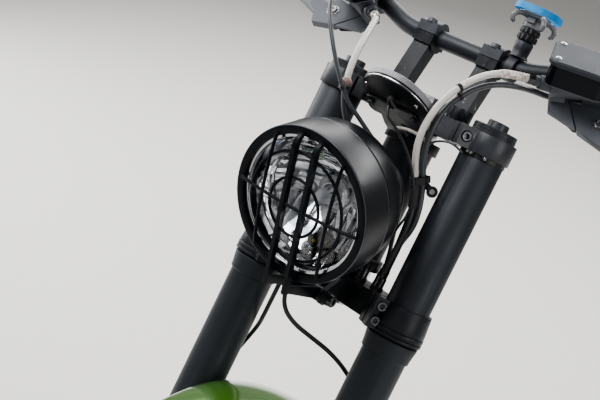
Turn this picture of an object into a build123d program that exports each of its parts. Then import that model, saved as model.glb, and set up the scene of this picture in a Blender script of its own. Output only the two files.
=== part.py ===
from build123d import *
from math import acos, atan2, cos, hypot, pi, radians, sin, tan
import os

os.makedirs("parts", exist_ok=True)

# Front end of a cafe racer motorcycle, in millimetres.
# +X is the rider's left, -Y is forward, +Z is up. The origin is the middle of the steering head.
# The fork frame has the same origin and X, with its Z up along the steering axis.

# Steering geometry
RAKE = 24.5                 # lean of the steering axis, degrees
LEG_X = 102.0               # half of the spacing of the fork legs
LEG_Y = -28.0               # offset of the legs ahead of the steering axis
AXLE_Z = -585.0             # wheel axle along the legs

# Clearances
SEAT = 0.15                 # between pieces that are clamped or seated together
RUN = 0.05                  # radial, in a bearing
SIDE = 0.3                  # beside a turning piece

# Steering head and stem
HEAD_R = 30.0
HEAD_HALF = 84.0
CUP_R = 34.0
CUP_H = 14.0
HEAD_BORE_R = 23.0
STEM_R = 15.0
STEM_TOP_R = 12.5
STAND_BORE_R = 8.0          # open lower end of the stem, where a paddock stand's pin goes
STAND_BORE_DEPTH = 60.0

# Yokes
UPPER_Z = (95.0, 119.0)
LOWER_Z = (-132.0, -95.0)
BOSS_R = 27.0
UPPER_RING_R = 30.0
LOWER_RING_R = 33.5
LAMP_PAD_Y = -42.0          # front of the lower yoke's pad for the lamp bracket
PINCH_OUT = 34.0            # leg axis to pinch bolt axis
SLIT = 3.0

# Fork legs
TUBE_R = 26.5
TUBE_LOW_R = 27.3
TUBE_END_Z = -372.0
SEAL_R = 29.0
STANCHION_R = 21.5
FOOT_TOP_Z = -474.0
FOOT_X = (84.0, 122.0)      # sides of the foot
AXLE_R = 12.5
AXLE_LUG_R = 24.0

# Wheel
RIM_HALF = 52.0
RIM_R = 228.0
BEAD_R = RIM_R - 9.0
WELL_R = RIM_R - 30.0
TYRE_HALF = 60.0
TYRE_H = 72.0               # tread above the rim's edge
TYRE_R = RIM_R + TYRE_H
HUB_HALF = 72.0
SPOKE_PAIRS = 5
DISC_X = 64.0               # middle of each brake disc
DISC_T = 5.0
DISC_R = 160.0
DISC_IN_R = DISC_R - 34.0
DISC_FLANGE_R = 50.0
DISC_ARMS = 6
PAD_GAP = 1.0
CALIPER_HALF = 32.0
CALIPER_ANGLE = 42.0        # of the caliper behind the axle, up from square to the leg
CALIPER_R = (DISC_R - 50.0, DISC_R + 12.0)    # inner and outer side of its body
CALIPER_REACH = 23.0        # degrees that its body reaches either way from its middle

# Mudguard
MUDGUARD_SEAT_X = 74.7      # outer face of its ears, on the feet
GUARD_T = 3.0
GUARD_GAP = 15.0            # over the tread
GUARD_R = TYRE_R + GUARD_GAP + GUARD_T
GUARD_HALF = TYRE_HALF + 6.0
GUARD_DROP = 36.0           # crown to skirt
GUARD_ANGLES = (-62.0, 50.0)    # front and rear edge from the leg line, degrees

# Handlebar and controls
BAR_R = 11.0
BAR_Y = 10.0                # in the fork frame
BAR_Z = 202.0
BAR_BEND_X = 78.0
BAR_END_X = 370.0
BAR_END_BORE_R = 8.0        # open ends of the tube, for a bar-end mirror or weight
BAR_END_DEPTH = 40.0
BAR_BACK = 0.4              # sweep per unit of width
BAR_RISE = 0.2
RISER_X = 44.6
RISER_HALF = 13.0
RISER_R = 19.0
GRIP_R = 16.5
GRIP_S = (188.0, 312.0)     # along the bar from its bend
SWITCH_S = (146.0, 184.0)
CLAMP_S = (60.0, 82.0)

# Headlamp
LAMP_Y = -177.0             # front face of the flange
LAMP_Z = 38.0
FLANGE_R = 87.8
FLANGE_IN_R = 78.0
SHELL_DEPTH = 43.0
BUCKET_R = 84.0
BUCKET_STEP = 66.0
BUCKET_DEPTH = 117.0
BUCKET_BACK_R = 24.0        # flat back of the bucket
BOWL_DEPTH = 50.0           # reflector behind its rim
BULB_HOLE_R = 20.0
LENS_R = 74.5
LENS_IN = 13.0              # lens rim behind the flange face
GUARD_DOME_R = 453.0
ROD_R = 2.0
RING_ROD_R = 1.7
RING_BEHIND = 0.9           # rings lie a little behind the rods
RING_RADII = (60.8, 32.9)
SIDE_ROD_X = 44.6
STRAP_X = 13.3
STRAP_W = 5.0
STRAP_FRONT = 13.0
STRAP_DEPTH = 8.0
PIVOT_Y = -120.0            # lamp foot bolt
PIVOT_Z = -84.0
PIVOT_R = 5.0
FOOT_HALF = 20.0

# Gauge
GAUGE_C = (6.0, -39.5, 134.0)   # middle of the rim's rear edge
GAUGE_TILT = 48.5           # of the dial from level
GAUGE_R = 46.0
GAUGE_RIM = 13.0
GAUGE_BACK = 5.0            # case behind the rim
GAUGE_PLATE = 3.0           # thickness of its bracket
GAUGE_CABLE = (2.0, -12.0)  # where its cable leaves the back
YOKE_PAD_Y = -31.0          # front of the upper yoke's pad for the bracket

# Phone mount on the bar
PHONE_X = 70.0
PHONE_LEAN = 22.0

# Hoses, cables and what they end in
HOSE_R = 4.0
LOOM_R = 3.5
LINE_R = 2.8
LINE_GAP = 1.3              # from the caliper's end to the line's mouth
CABLE_R = 2.6
WIRE_R = 1.5
UNION_H = 18.0
SPLITTER = (21.0, 14.0, 20.0)

STEER = Rot(X=-RAKE)
parts = {}


def world(x, y, z):
    """A point of the fork frame in the world."""
    r = radians(RAKE)
    return Vector(x, y * cos(r) + z * sin(r), z * cos(r) - y * sin(r))


def lathe(points):
    """Solid turned about Z from (radius, height) points."""
    return revolve(Plane.XZ * make_face(Polyline(*points, close=True)), Axis.Z)


def rod_z(r, z0, z1, x=0.0, y=0.0):
    return Pos(x, y, (z0 + z1) / 2) * Cylinder(r, z1 - z0)


def rod_x(r, x0, x1, y=0.0, z=0.0):
    return Pos((x0 + x1) / 2, y, z) * Rot(Y=90) * Cylinder(r, x1 - x0)


def belt(a, ra, b, rb):
    """Outline of a belt pulled tight round two discs."""
    turn = atan2(b[1] - a[1], b[0] - a[0])
    lean = acos((ra - rb) / hypot(b[0] - a[0], b[1] - a[1]))
    ends = []
    for centre, radius, side in ((a, ra, -1), (b, rb, -1), (b, rb, 1), (a, ra, 1)):
        ends.append((centre[0] + radius * cos(turn + side * lean), centre[1] + radius * sin(turn + side * lean)))
    return Pos(*a) * Circle(ra) + Pos(*b) * Circle(rb) + Polygon(*ends, align=None)


def dome(rim, height, z=0.0):
    """Edge of a round dome from its rim to its top on the axis, in radius and height."""
    ball = (rim ** 2 + height ** 2) / (2 * height)
    half = rim / 2
    return ThreePointArc((rim, z), (half, z + (ball ** 2 - half ** 2) ** 0.5 - ball + height), (0, z + height))


def plate_yz(outline, x0, x1):
    """A plate from x0 to x1 whose outline is drawn in Y and Z."""
    return extrude(Plane.YZ.offset(x0) * outline, x1 - x0)


def pipe(points, radii, radius):
    """A round tube's outside along straight runs joined by tangent arcs."""
    path = FilletPolyline(*points, radius=radii)
    return sweep(Plane(origin=path @ 0, z_dir=path % 0) * Circle(radius), path=path)


def hose(points, radius):
    """A hose whose every arc is as large as its two runs allow."""
    route = [Vector(*p) for p in points]
    radii = []
    for before, here, after in zip(route, route[1:], route[2:]):
        turn = radians((here - before).get_angle(after - here))
        shorter = min((here - before).length, (after - here).length)
        radii.append(0.45 * shorter / (sin(turn / 2) / cos(turn / 2)))
    print("hose radii", [round(r) for r in radii], "of diameter", 2 * radius)
    return pipe(route, radii, radius)


def both_sides(name, left):
    parts[name + "_left"] = left
    parts[name + "_right"] = mirror(left, Plane.YZ)


# Steering head: a tube with a bearing cup at each end
def steering_head():
    body = rod_z(HEAD_R, -HEAD_HALF, HEAD_HALF)
    for low in (-HEAD_HALF, HEAD_HALF - CUP_H):
        body += rod_z(CUP_R, low, low + CUP_H)
    body -= rod_z(HEAD_BORE_R, -HEAD_HALF + CUP_H, HEAD_HALF - CUP_H)
    return STEER * (body - rod_z(STEM_R + RUN, -HEAD_HALF - 1, HEAD_HALF + 1))


# Stem: pressed in the lower yoke, with the bearing seat below and the ring nut and top nut above
def steering_stem():
    nut_z = UPPER_Z[1]
    body = lathe([
        (0, LOWER_Z[0] - 4), (STEM_R, LOWER_Z[0] - 4), (STEM_R, LOWER_Z[1]),
        (26, LOWER_Z[1]), (26, -HEAD_HALF - SIDE), (STEM_R, -HEAD_HALF - SIDE),
        (STEM_R, HEAD_HALF + SIDE), (25, HEAD_HALF + SIDE), (25, UPPER_Z[0]), (STEM_TOP_R, UPPER_Z[0]),
        (STEM_TOP_R, nut_z), (22, nut_z), (22, nut_z + 3), (0, nut_z + 3),
    ])
    body += extrude(Plane.XY.offset(nut_z + 3) * RegularPolygon(18, 6), 12)
    body -= rod_z(9, nut_z + 5, nut_z + 16)
    return STEER * (body - rod_z(STAND_BORE_R, LOWER_Z[0] - 5, LOWER_Z[0] - 4 + STAND_BORE_DEPTH))


def pinch_frame(side, z):
    """Frame at a pinch bolt: X along the bolt, Y out from the leg axis, Z up."""
    out = Vector(-side * sin(pi / 4), -sin(pi / 4), 0)
    along = Vector(side * sin(pi / 4), -sin(pi / 4), 0)
    centre = Vector(side * LEG_X, LEG_Y, z) + out * PINCH_OUT
    return Location(Plane(origin=centre, x_dir=along, z_dir=(0, 0, side)))


def pinch(side, z, height):
    """Lug that a pinch bolt crosses, and the cut that parts it and takes the bolt."""
    place = pinch_frame(side, z)
    lug = place * Box(28, 17, height)
    cut = place * Pos(0, -2, 0) * Box(SLIT, 26, height + 40)
    cut += place * Pos(12, 0, 0) * Rot(Y=90) * Cylinder(6.6, 8)
    return lug, cut


def upper_yoke():
    low, high = UPPER_Z
    outline = Circle(BOSS_R)
    for side in (-1, 1):
        outline += belt((0, 0), 24, (side * LEG_X, LEG_Y), 21)
        outline += Pos(side * LEG_X, LEG_Y) * Circle(UPPER_RING_R)
    outline += Pos(0, YOKE_PAD_Y / 2) * Rectangle(34, -YOKE_PAD_Y)
    body = extrude(Plane.XY.offset(low) * outline, high - low)
    for side in (-1, 1):
        lug, cut = pinch(side, (low + high) / 2, high - low)
        body += lug
        body -= cut
        body -= rod_z(TUBE_R + SEAT, low - 1, high + 1, side * LEG_X, LEG_Y)
        pocket = belt((side * 30, -8), 13, (side * 60, -16.5), 12)
        body -= extrude(Plane.XY.offset(low - 1) * pocket, 13)
    return STEER * (body - rod_z(STEM_TOP_R + SEAT, low - 1, high + 1))


def lower_yoke():
    low, high = LOWER_Z
    ring = lathe([
        (0, low), (LOWER_RING_R, low), (LOWER_RING_R, low + 3), (LOWER_RING_R - 1.5, low + 4),
        (LOWER_RING_R, low + 5), (LOWER_RING_R, low + 9), (LOWER_RING_R - 1.5, low + 10),
        (LOWER_RING_R - 0.5, low + 11), (LOWER_RING_R - 3, high), (0, high),
    ])
    outline = Circle(BOSS_R + 3)
    for side in (-1, 1):
        outline += belt((0, 0), 27, (side * LEG_X, LEG_Y), 25)
    body = extrude(Plane.XY.offset(low + 3) * outline, high - low - 6)
    body += Pos(0, LAMP_PAD_Y / 2, (low + high) / 2) * Box(64, -LAMP_PAD_Y, high - low - 10)
    for side in (-1, 1):
        body += Pos(side * LEG_X, LEG_Y, 0) * ring
        lug, cut = pinch(side, (low + high) / 2, high - low)
        body += lug
        body -= cut
        body -= rod_z(TUBE_R + SEAT, low - 1, high + 1, side * LEG_X, LEG_Y)
        pocket = belt((side * 34, -9), 14, (side * 56, -15), 13)
        body -= extrude(Plane.XY.offset(low + 2) * pocket, 20)
    return STEER * (body - rod_z(STEM_R + SEAT, low - 1, high + 1))


# Upside-down fork leg: outer tube, cap, stanchion and foot
def fork_tube():
    collar = LOWER_Z[0] - 3
    body = lathe([
        (0, UPPER_Z[1]), (TUBE_R, UPPER_Z[1]), (TUBE_R, LOWER_Z[0] - SEAT), (32, collar),
        (29.5, collar - 17), (29.5, collar - 20), (TUBE_LOW_R, collar - 22),
        (TUBE_LOW_R, TUBE_END_Z + 22), (SEAL_R, TUBE_END_Z + 18), (SEAL_R, TUBE_END_Z),
        (STANCHION_R + SEAT, TUBE_END_Z), (STANCHION_R + SEAT, TUBE_END_Z + 40), (0, TUBE_END_Z + 40),
    ])
    return STEER * Pos(LEG_X, LEG_Y, 0) * body


def fork_cap():
    z = UPPER_Z[1]
    body = lathe([
        (0, z), (26, z), (26, z + 3), (25, z + 4), (26, z + 5), (26, z + 7), (25, z + 8), (26, z + 9),
        (25, z + 10), (12.5, z + 10), (12.5, z + 17), (11.5, z + 18), (0, z + 18),
    ])
    return STEER * Pos(LEG_X, LEG_Y, 0) * body


def stanchion():
    return STEER * rod_z(STANCHION_R, FOOT_TOP_Z - 26, TUBE_END_Z + 40 - SEAT, LEG_X, LEG_Y)


def caliper_point(out, along):
    """Point of the fork frame's YZ plane, measured from the axle towards the caliper."""
    a = radians(CALIPER_ANGLE)
    return (LEG_Y + out * cos(a) - along * sin(a), AXLE_Z + out * sin(a) + along * cos(a))


def fork_foot():
    x0, x1 = FOOT_X
    axle = (LEG_Y, AXLE_Z)
    top = (LEG_Y, FOOT_TOP_Z - 34)
    body = plate_yz(belt(axle, AXLE_LUG_R, top, 21), x0, x1)
    body += Pos(LEG_X, LEG_Y, 0) * lathe([
        (0, FOOT_TOP_Z), (26, FOOT_TOP_Z), (27, FOOT_TOP_Z - 2), (27, FOOT_TOP_Z - 18),
        (20, FOOT_TOP_Z - 60), (0, FOOT_TOP_Z - 60),
    ])
    upper_lug = caliper_point(CALIPER_R[0] - 10 - SIDE, 46)
    lower_lug = caliper_point(CALIPER_R[0] - 10 - SIDE, -46)
    wing = belt(top, 18, upper_lug, 10) + belt(upper_lug, 10, lower_lug, 10) + belt(axle, 16, lower_lug, 10)
    body += plate_yz(wing, x0 + 2, x0 + 14)
    body += rod_x(9, MUDGUARD_SEAT_X + SEAT, x0 + 4, LEG_Y, FOOT_TOP_Z - 10)
    body -= rod_z(STANCHION_R + SEAT, FOOT_TOP_Z - 26 - SEAT, FOOT_TOP_Z + 1, LEG_X, LEG_Y)
    body -= Pos((x0 + x1) / 2, LEG_Y, AXLE_Z - 20) * Box(x1 - x0 + 2, SLIT, 30)
    return STEER * (body - rod_x(AXLE_R + SEAT, x0 - 1, x1 + 1, LEG_Y, AXLE_Z))


def caliper():
    low, high = CALIPER_R
    mid = (low + high) / 2
    reach = radians(CALIPER_REACH)
    block = make_face(
        Line((low * cos(reach), -low * sin(reach)), (high * cos(reach), -high * sin(reach)))
        + ThreePointArc((high * cos(reach), -high * sin(reach)), (high, 0), (high * cos(reach), high * sin(reach)))
        + Line((high * cos(reach), high * sin(reach)), (low * cos(reach), low * sin(reach)))
        + ThreePointArc((low * cos(reach), low * sin(reach)), (low, 0), (low * cos(reach), -low * sin(reach)))
    )
    body = extrude(Plane.XY.offset(-CALIPER_HALF) * block, 2 * CALIPER_HALF)
    for side in (-1, 1):
        body += Pos(mid - 2, side * 24, 0) * Cylinder(17, 2 * CALIPER_HALF + 8)
        ear = belt((low + 10, side * 46), 10, (mid, side * 40), 14)
        body += extrude(Plane.XY.offset(FOOT_X[0] + 2 - DISC_X) * ear, 12)
    seat_z = FOOT_X[0] + 2 - SIDE - DISC_X
    body -= Pos(low - 20, 0, seat_z + 10) * Box(40, 120, 20)
    body -= Cylinder(DISC_R + 4, DISC_T + 2 * PAD_GAP)
    body -= Pos(high, 0, 0) * Box(36, 50, 20)
    turned = Rot(X=CALIPER_ANGLE) * Plane.YZ.location * body
    return STEER * Pos(DISC_X, LEG_Y, AXLE_Z) * turned


WHEEL = STEER * Pos(0, LEG_Y, AXLE_Z) * Rot(Y=90)


def wheel_axle():
    spacer = AXLE_R + 5.5
    body = lathe([
        (0, -FOOT_X[1] - 2), (AXLE_R, -FOOT_X[1] - 2), (AXLE_R, -FOOT_X[0]), (spacer, -FOOT_X[0] + SEAT),
        (spacer, -HUB_HALF - SIDE), (AXLE_R, -HUB_HALF - SIDE), (AXLE_R, HUB_HALF + SIDE),
        (spacer, HUB_HALF + SIDE), (spacer, FOOT_X[0] - SEAT), (AXLE_R, FOOT_X[0]),
        (AXLE_R, FOOT_X[1]), (17, FOOT_X[1] + SEAT), (17, FOOT_X[1] + 6), (0, FOOT_X[1] + 6),
    ])
    body -= Pos(0, 0, FOOT_X[1]) * Cylinder(9, 20)
    return WHEEL * body


def wheel_rim():
    half = RIM_HALF
    ring = lathe([
        (RIM_R, -half), (RIM_R, -half + 4), (BEAD_R, -half + 8), (BEAD_R - 2, -22), (WELL_R + 7, -14),
        (WELL_R + 7, 14), (BEAD_R - 2, 22), (BEAD_R, half - 8), (RIM_R, half - 4), (RIM_R, half),
        (RIM_R - 6, half), (BEAD_R - 8, half - 7), (BEAD_R - 10, 26), (WELL_R, 18),
        (WELL_R, -18), (BEAD_R - 10, -26), (BEAD_R - 8, -half + 7), (RIM_R - 6, -half),
    ])
    flange = DISC_X - DISC_T / 2
    hub = lathe([
        (0, -HUB_HALF), (22, -HUB_HALF), (24, -flange), (DISC_FLANGE_R, -flange), (DISC_FLANGE_R, -flange + 7),
        (34, -flange + 12), (32, 0), (34, flange - 12), (DISC_FLANGE_R, flange - 7),
        (DISC_FLANGE_R, flange), (24, flange), (22, HUB_HALF), (0, HUB_HALF),
    ])
    body = ring + hub
    for pair in range(SPOKE_PAIRS):
        for side in (-1, 1):
            spoke = belt((26, side * 8), 11, (WELL_R + 1, side * 40), 7)
            body += Rot(Z=pair * 360 / SPOKE_PAIRS) * extrude(Plane.XY.offset(-12) * spoke, 24)
    return WHEEL * (body - Cylinder(AXLE_R + RUN, 2 * HUB_HALF + 2))


def tyre():
    seat_r = BEAD_R + SEAT
    foot_x = RIM_HALF - 8.5
    side_r = RIM_R + 0.45 * TYRE_H
    shoulder = (TYRE_R - 0.28 * TYRE_H, TYRE_HALF - 10)
    outline = (
        Line((seat_r, -foot_x), (RIM_R + 4, -RIM_HALF + 5))
        + ThreePointArc((RIM_R + 4, -RIM_HALF + 5), (side_r, -TYRE_HALF), (shoulder[0], -shoulder[1]))
        + ThreePointArc((shoulder[0], -shoulder[1]), (TYRE_R, 0), shoulder)
        + ThreePointArc(shoulder, (side_r, TYRE_HALF), (RIM_R + 4, RIM_HALF - 5))
        + Line((RIM_R + 4, RIM_HALF - 5), (seat_r, foot_x))
        + Line((seat_r, foot_x), (seat_r, -foot_x))
    )
    return WHEEL * revolve(Plane.XZ * make_face(outline), Axis.Z)


def brake_disc():
    band = Circle(DISC_R) - Circle(DISC_IN_R)
    carrier = Circle(DISC_FLANGE_R) - Circle(26)
    for arm in range(DISC_ARMS):
        carrier += Rot(Z=arm * 360 / DISC_ARMS) * belt((42, 0), 9, (DISC_IN_R + 4, 20), 7)
    disc = extrude(band, DISC_T) + extrude(carrier, DISC_T - 1)
    return WHEEL * Pos(0, 0, DISC_X - DISC_T / 2) * disc


# Mudguard: a crowned shell over the tyre, with an ear down to each fork foot
def mudguard():
    crown = GUARD_R - 14
    skirt = GUARD_R - GUARD_DROP
    inner = GUARD_HALF - GUARD_T
    outline = (
        Line((skirt, -GUARD_HALF), (crown, -GUARD_HALF + 4))
        + ThreePointArc((crown, -GUARD_HALF + 4), (GUARD_R, 0), (crown, GUARD_HALF - 4))
        + Line((crown, GUARD_HALF - 4), (skirt, GUARD_HALF))
        + Line((skirt, GUARD_HALF), (skirt, inner))
        + Line((skirt, inner), (crown - 2, inner - 4))
        + ThreePointArc((crown - 2, inner - 4), (GUARD_R - GUARD_T, 0), (crown - 2, 4 - inner))
        + Line((crown - 2, 4 - inner), (skirt, -inner))
        + Line((skirt, -inner), (skirt, -GUARD_HALF))
    )
    sweep_angle = GUARD_ANGLES[1] - GUARD_ANGLES[0]
    shell = revolve(Plane.XZ * make_face(outline), Axis.Z, revolution_arc=sweep_angle)
    # The local +X of the wheel frame points down the legs, so the shell starts half a turn round
    body = Pos(0, LEG_Y, AXLE_Z) * Rot(Y=90) * Rot(Z=180 - GUARD_ANGLES[1]) * shell
    knee = AXLE_Z + DISC_R + 20
    high = AXLE_Z + GUARD_R - 24
    low = FOOT_TOP_Z - 22
    for side in (-1, 1):
        upper = Polygon((LEG_Y - 26, knee), (LEG_Y + 26, knee), (LEG_Y + 60, high), (LEG_Y - 60, high), align=None)
        lower = Polygon((LEG_Y - 16, low), (LEG_Y + 16, low), (LEG_Y + 26, knee + 4), (LEG_Y - 26, knee + 4),
                        align=None)
        x_in = GUARD_HALF - GUARD_T
        x_out = MUDGUARD_SEAT_X - GUARD_T
        span = ((x_in, GUARD_HALF), (x_out, x_out + GUARD_T), (x_in, x_out + GUARD_T))
        flat = [tuple(sorted((side * a, side * b))) for a, b in span]
        body += plate_yz(upper, *flat[0])
        body += plate_yz(lower, *flat[1])
        body += plate_yz(Pos(LEG_Y, knee + 2) * Rectangle(52, 4), *flat[2])
    return STEER * body


# Handlebar
BAR_MID = world(0, BAR_Y, BAR_Z)
BAR_SPAN = BAR_END_X - BAR_BEND_X
BAR_DIR = Vector(1, BAR_BACK, BAR_RISE).normalized()

# Control frame: X out along the left half of the bar from its bend, Y back and Z up
bar_up = (Vector(0, 0, 1) - BAR_DIR * BAR_DIR.Z).normalized()
BAR_FRAME = Location(Plane(origin=(BAR_BEND_X, BAR_MID.Y, BAR_MID.Z), x_dir=BAR_DIR, z_dir=bar_up))


def on_bar(x, y, z):
    """A point of the control frame in the world."""
    return (BAR_FRAME * Pos(x, y, z)).position


def bar_line(radius):
    """A round bar along the handlebar's own bends."""
    y, z = BAR_MID.Y, BAR_MID.Z
    end = (BAR_END_X, y + BAR_BACK * BAR_SPAN, z + BAR_RISE * BAR_SPAN)
    points = [(-end[0], end[1], end[2]), (-BAR_BEND_X, y, z), (BAR_BEND_X, y, z), end]
    return pipe(points, [90, 90], radius)


def handlebar():
    body = bar_line(BAR_R)
    length = BAR_SPAN * (1 + BAR_BACK ** 2 + BAR_RISE ** 2) ** 0.5
    bore = BAR_FRAME * rod_x(BAR_END_BORE_R, length - BAR_END_DEPTH, length + 1)
    return body - bore - mirror(bore, Plane.YZ)


def bar_riser():
    foot = (-9, UPPER_Z[1] + 12)
    x0, x1 = RISER_X - RISER_HALF, RISER_X + RISER_HALF
    body = plate_yz(belt(foot, 11, (BAR_Y, BAR_Z), 12), x0 + 2, x1 - 2)
    body += plate_yz(Pos(BAR_Y, BAR_Z) * Circle(RISER_R), x0, x1)
    for corner in (-1, 1):
        body += Pos(RISER_X, BAR_Y + corner * (RISER_R - 6), BAR_Z) * Box(2 * RISER_HALF, 12, 26)
    body += rod_z(15, UPPER_Z[1], UPPER_Z[1] + 16, RISER_X, foot[0])
    body -= rod_x(BAR_R + SEAT, x0 - 1, x1 + 1, BAR_Y, BAR_Z)
    body -= Pos(RISER_X, BAR_Y, BAR_Z) * Box(2 * RISER_HALF + 2, 2 * RISER_R + 2, 0.8)
    return STEER * body


def grip():
    s0, s1 = GRIP_S
    body = rod_x(GRIP_R, s0 + 6, s1) + rod_x(GRIP_R + 4, s0, s0 + 6)
    return BAR_FRAME * (body - rod_x(BAR_R + SEAT, s0 - 1, s1 + 1))


def switch_housing():
    s0, s1 = SWITCH_S
    mid = (s0 + s1) / 2
    body = rod_x(19, s0, s1) + Pos(mid, -6, -12) * fillet(Box(s1 - s0, 36, 34).edges(), 4)
    return BAR_FRAME * (body - rod_x(BAR_R + SEAT, s0 - 1, s1 + 1))


CYLINDER_Y = -34.0
CYLINDER_Z = -3.0
CYLINDER_R = 12.0
CYLINDER_S = (42.0, 116.0)
TANK_ROLL = 14.0            # levels the reservoir on the rising bar
TANK_DIP = 12.0             # forward tilt of its lid
OUTLET_ROOT = on_bar(CYLINDER_S[0] + 2, CYLINDER_Y, CYLINDER_Z)
OUTLET = on_bar(CYLINDER_S[0] - 19, CYLINDER_Y - 8.4, CYLINDER_Z + 6.9)

# The lever and its perch lie in a plane that dips forward: X along the bar, Y forward and down, Z out of it
DIP = 37.0
LEVER_PLANE = BAR_FRAME * Pos(0, -20, -18) * Rot(Z=180) * Rot(X=-DIP)
LEVER_T = 10.0
PIVOT_S = (99.0, 31.6)


def in_lever_plane(s, q):
    """A point of the lever plane's own X and Y, from its distance along the bar and down the plane."""
    return (-s, q)


def cone(a, b, ra, rb):
    """A round taper between two points of the world."""
    axis = Vector(*b) - Vector(*a)
    place = Location(Plane(origin=a, z_dir=axis))
    return place * Pos(0, 0, axis.length / 2) * Cone(ra, rb, axis.length)


def master_cylinder():
    s0, s1 = CLAMP_S
    mid = (s0 + s1) / 2
    tank = fillet(Box(66, 50, 26).edges().filter_by(Axis.Z), 9)
    lid = fillet(Box(72, 55, 6).edges().filter_by(Axis.Z), 11)
    lid = chamfer(lid.edges().group_by(Axis.Z)[-1], 2)
    body = rod_x(CYLINDER_R, *CYLINDER_S, CYLINDER_Y, CYLINDER_Z)
    body += rod_x(18, s0, s1)
    body += Pos(mid, -22, -2) * Box(s1 - s0, 30, 20)
    body += Pos(70, -46, 18) * Rot(Y=TANK_ROLL) * Rot(X=TANK_DIP) * (tank + Pos(0, 0, 16) * lid)
    body += Pos(74, -38, 6) * Box(44, 26, 12)
    body = BAR_FRAME * (body - rod_x(BAR_R + SEAT, s0 - 1, s1 + 1))
    perch = Polygon(in_lever_plane(38, -4), in_lever_plane(40, 23), in_lever_plane(73, 43),
                    in_lever_plane(58, -4), align=None)
    arm = belt(in_lever_plane(97, 10), 9, in_lever_plane(*PIVOT_S), 12)
    body += LEVER_PLANE * extrude(perch, -4)
    body += LEVER_PLANE * Pos(0, 0, -LEVER_T - SIDE) * extrude(arm, -5)
    body += BAR_FRAME * Pos(49, -24, -14) * Box(16, 12, 16)
    body += BAR_FRAME * Pos(91, -16, -18.5) * Box(30, 6, 29)
    return body + cone(OUTLET_ROOT, OUTLET, 6.5, 5.5)


def lever():
    tip = (GRIP_S[1] - 6, 38)
    heel = Polygon(in_lever_plane(62.6, 6), in_lever_plane(75.5, 43.5), in_lever_plane(103, 62), in_lever_plane(122, 48),
                   in_lever_plane(112, 14), align=None)
    blade = belt(in_lever_plane(112, 40), 11, in_lever_plane(168, 47), 7)
    blade += belt(in_lever_plane(168, 47), 7, in_lever_plane(*tip), 6)
    blade += Pos(*in_lever_plane(*tip)) * Circle(9)
    return LEVER_PLANE * extrude(heel + blade, -LEVER_T)


def phone_mount():
    """Bar clamp, leaning stalk with a knurled collar, and a cross of four claws."""
    body = rod_x(BAR_R + 5, -6, 6)
    body += lathe([
        (0, 8), (7.5, 8), (8.5, 20), (8.5, 34), (12, 35), (12, 50), (10.5, 51), (11.5, 56), (11.5, 64),
        (6, 64), (5, 67), (0, 67),
    ])
    claw = Pos(17, 0, 60) * Box(26, 8, 6) + Pos(29, 0, 66) * Rot(Y=20) * Box(4, 8, 18)
    for quarter in range(4):
        body += Rot(Z=45 + 90 * quarter) * claw
    return Pos(PHONE_X, BAR_MID.Y, BAR_MID.Z) * Rot(X=-PHONE_LEAN) * body - bar_line(BAR_R + SEAT)


# Headlamp, in a frame with Z forward from the flange face and Y up
LAMP = Pos(0, LAMP_Y, LAMP_Z) * Rot(X=90)


def lamp_bucket():
    """Flange, wire guard's shell and domed bucket, hollow in front of the reflector."""
    wall = 3
    back = BUCKET_BACK_R
    shoulder = (back + 0.67 * (BUCKET_R - back), -BUCKET_STEP - 0.63 * (BUCKET_DEPTH - BUCKET_STEP))
    outline = (
        Polyline((FLANGE_IN_R, -wall), (FLANGE_IN_R, 0), (FLANGE_R - 2, 0), (FLANGE_R, -2), (FLANGE_R, -SHELL_DEPTH),
                 (BUCKET_R, -SHELL_DEPTH - 1), (BUCKET_R, -BUCKET_STEP))
        + ThreePointArc((BUCKET_R, -BUCKET_STEP), shoulder, (back, -BUCKET_DEPTH))
        + Polyline((back, -BUCKET_DEPTH), (0, -BUCKET_DEPTH), (0, wall + 1 - BUCKET_DEPTH),
                   (back - 2, wall + 1 - BUCKET_DEPTH))
        + ThreePointArc((back - 2, wall + 1 - BUCKET_DEPTH), (shoulder[0] - wall, shoulder[1] + wall),
                        (BUCKET_R - wall, -BUCKET_STEP))
        + Polyline((BUCKET_R - wall, -BUCKET_STEP), (BUCKET_R - wall, -wall), (FLANGE_IN_R, -wall))
    )
    return LAMP * revolve(Plane.XZ * make_face(outline), Axis.Z)


def lamp_trim():
    wall = BUCKET_R - 3 - SEAT
    body = lathe([(LENS_R, -LENS_IN), (wall, -LENS_IN + 1), (wall, -LENS_IN - 12), (LENS_R, -LENS_IN - 12)])
    return LAMP * body


def lamp_reflector():
    z0 = -LENS_IN - 12 - SEAT
    z1 = z0 - BOWL_DEPTH
    wall = 3
    hole = BULB_HOLE_R
    middle = (hole + 0.66 * (LENS_R - hole), z0 - 0.68 * BOWL_DEPTH)
    outline = (
        Polyline((LENS_R - 1, z0), (LENS_R + 4, z0), (LENS_R + 4, z0 - wall), (LENS_R - wall, z0 - wall))
        + ThreePointArc((LENS_R - wall, z0 - wall), middle, (hole, z1))
        + Polyline((hole, z1), (0, z1), (0, z1 + 30), (9, z1 + 30), (9, z1 + 4), (hole - 1, z1 + wall))
        + ThreePointArc((hole - 1, z1 + wall), (middle[0] - wall, middle[1] + wall - 1), (LENS_R - 5, z0))
        + Line((LENS_R - 5, z0), (LENS_R - 1, z0))
    )
    return LAMP * revolve(Plane.XZ * make_face(outline), Axis.Z)


def lamp_lens():
    rim = LENS_R - SEAT
    z0 = -LENS_IN - 11
    outline = dome(rim, 6, z0) + dome(rim, 6, z0 + 4) + Line((rim, z0), (rim, z0 + 4)) + Line((0, z0 + 6), (0, z0 + 10))
    return LAMP * revolve(Plane.XZ * make_face(outline), Axis.Z)


def dome_height(r):
    """Height of the middle of the domed guard's rods ahead of the flange, at a radius."""
    rim = (GUARD_DOME_R ** 2 - (FLANGE_R - 3) ** 2) ** 0.5
    return ROD_R + SEAT + (GUARD_DOME_R ** 2 - r ** 2) ** 0.5 - rim


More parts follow.
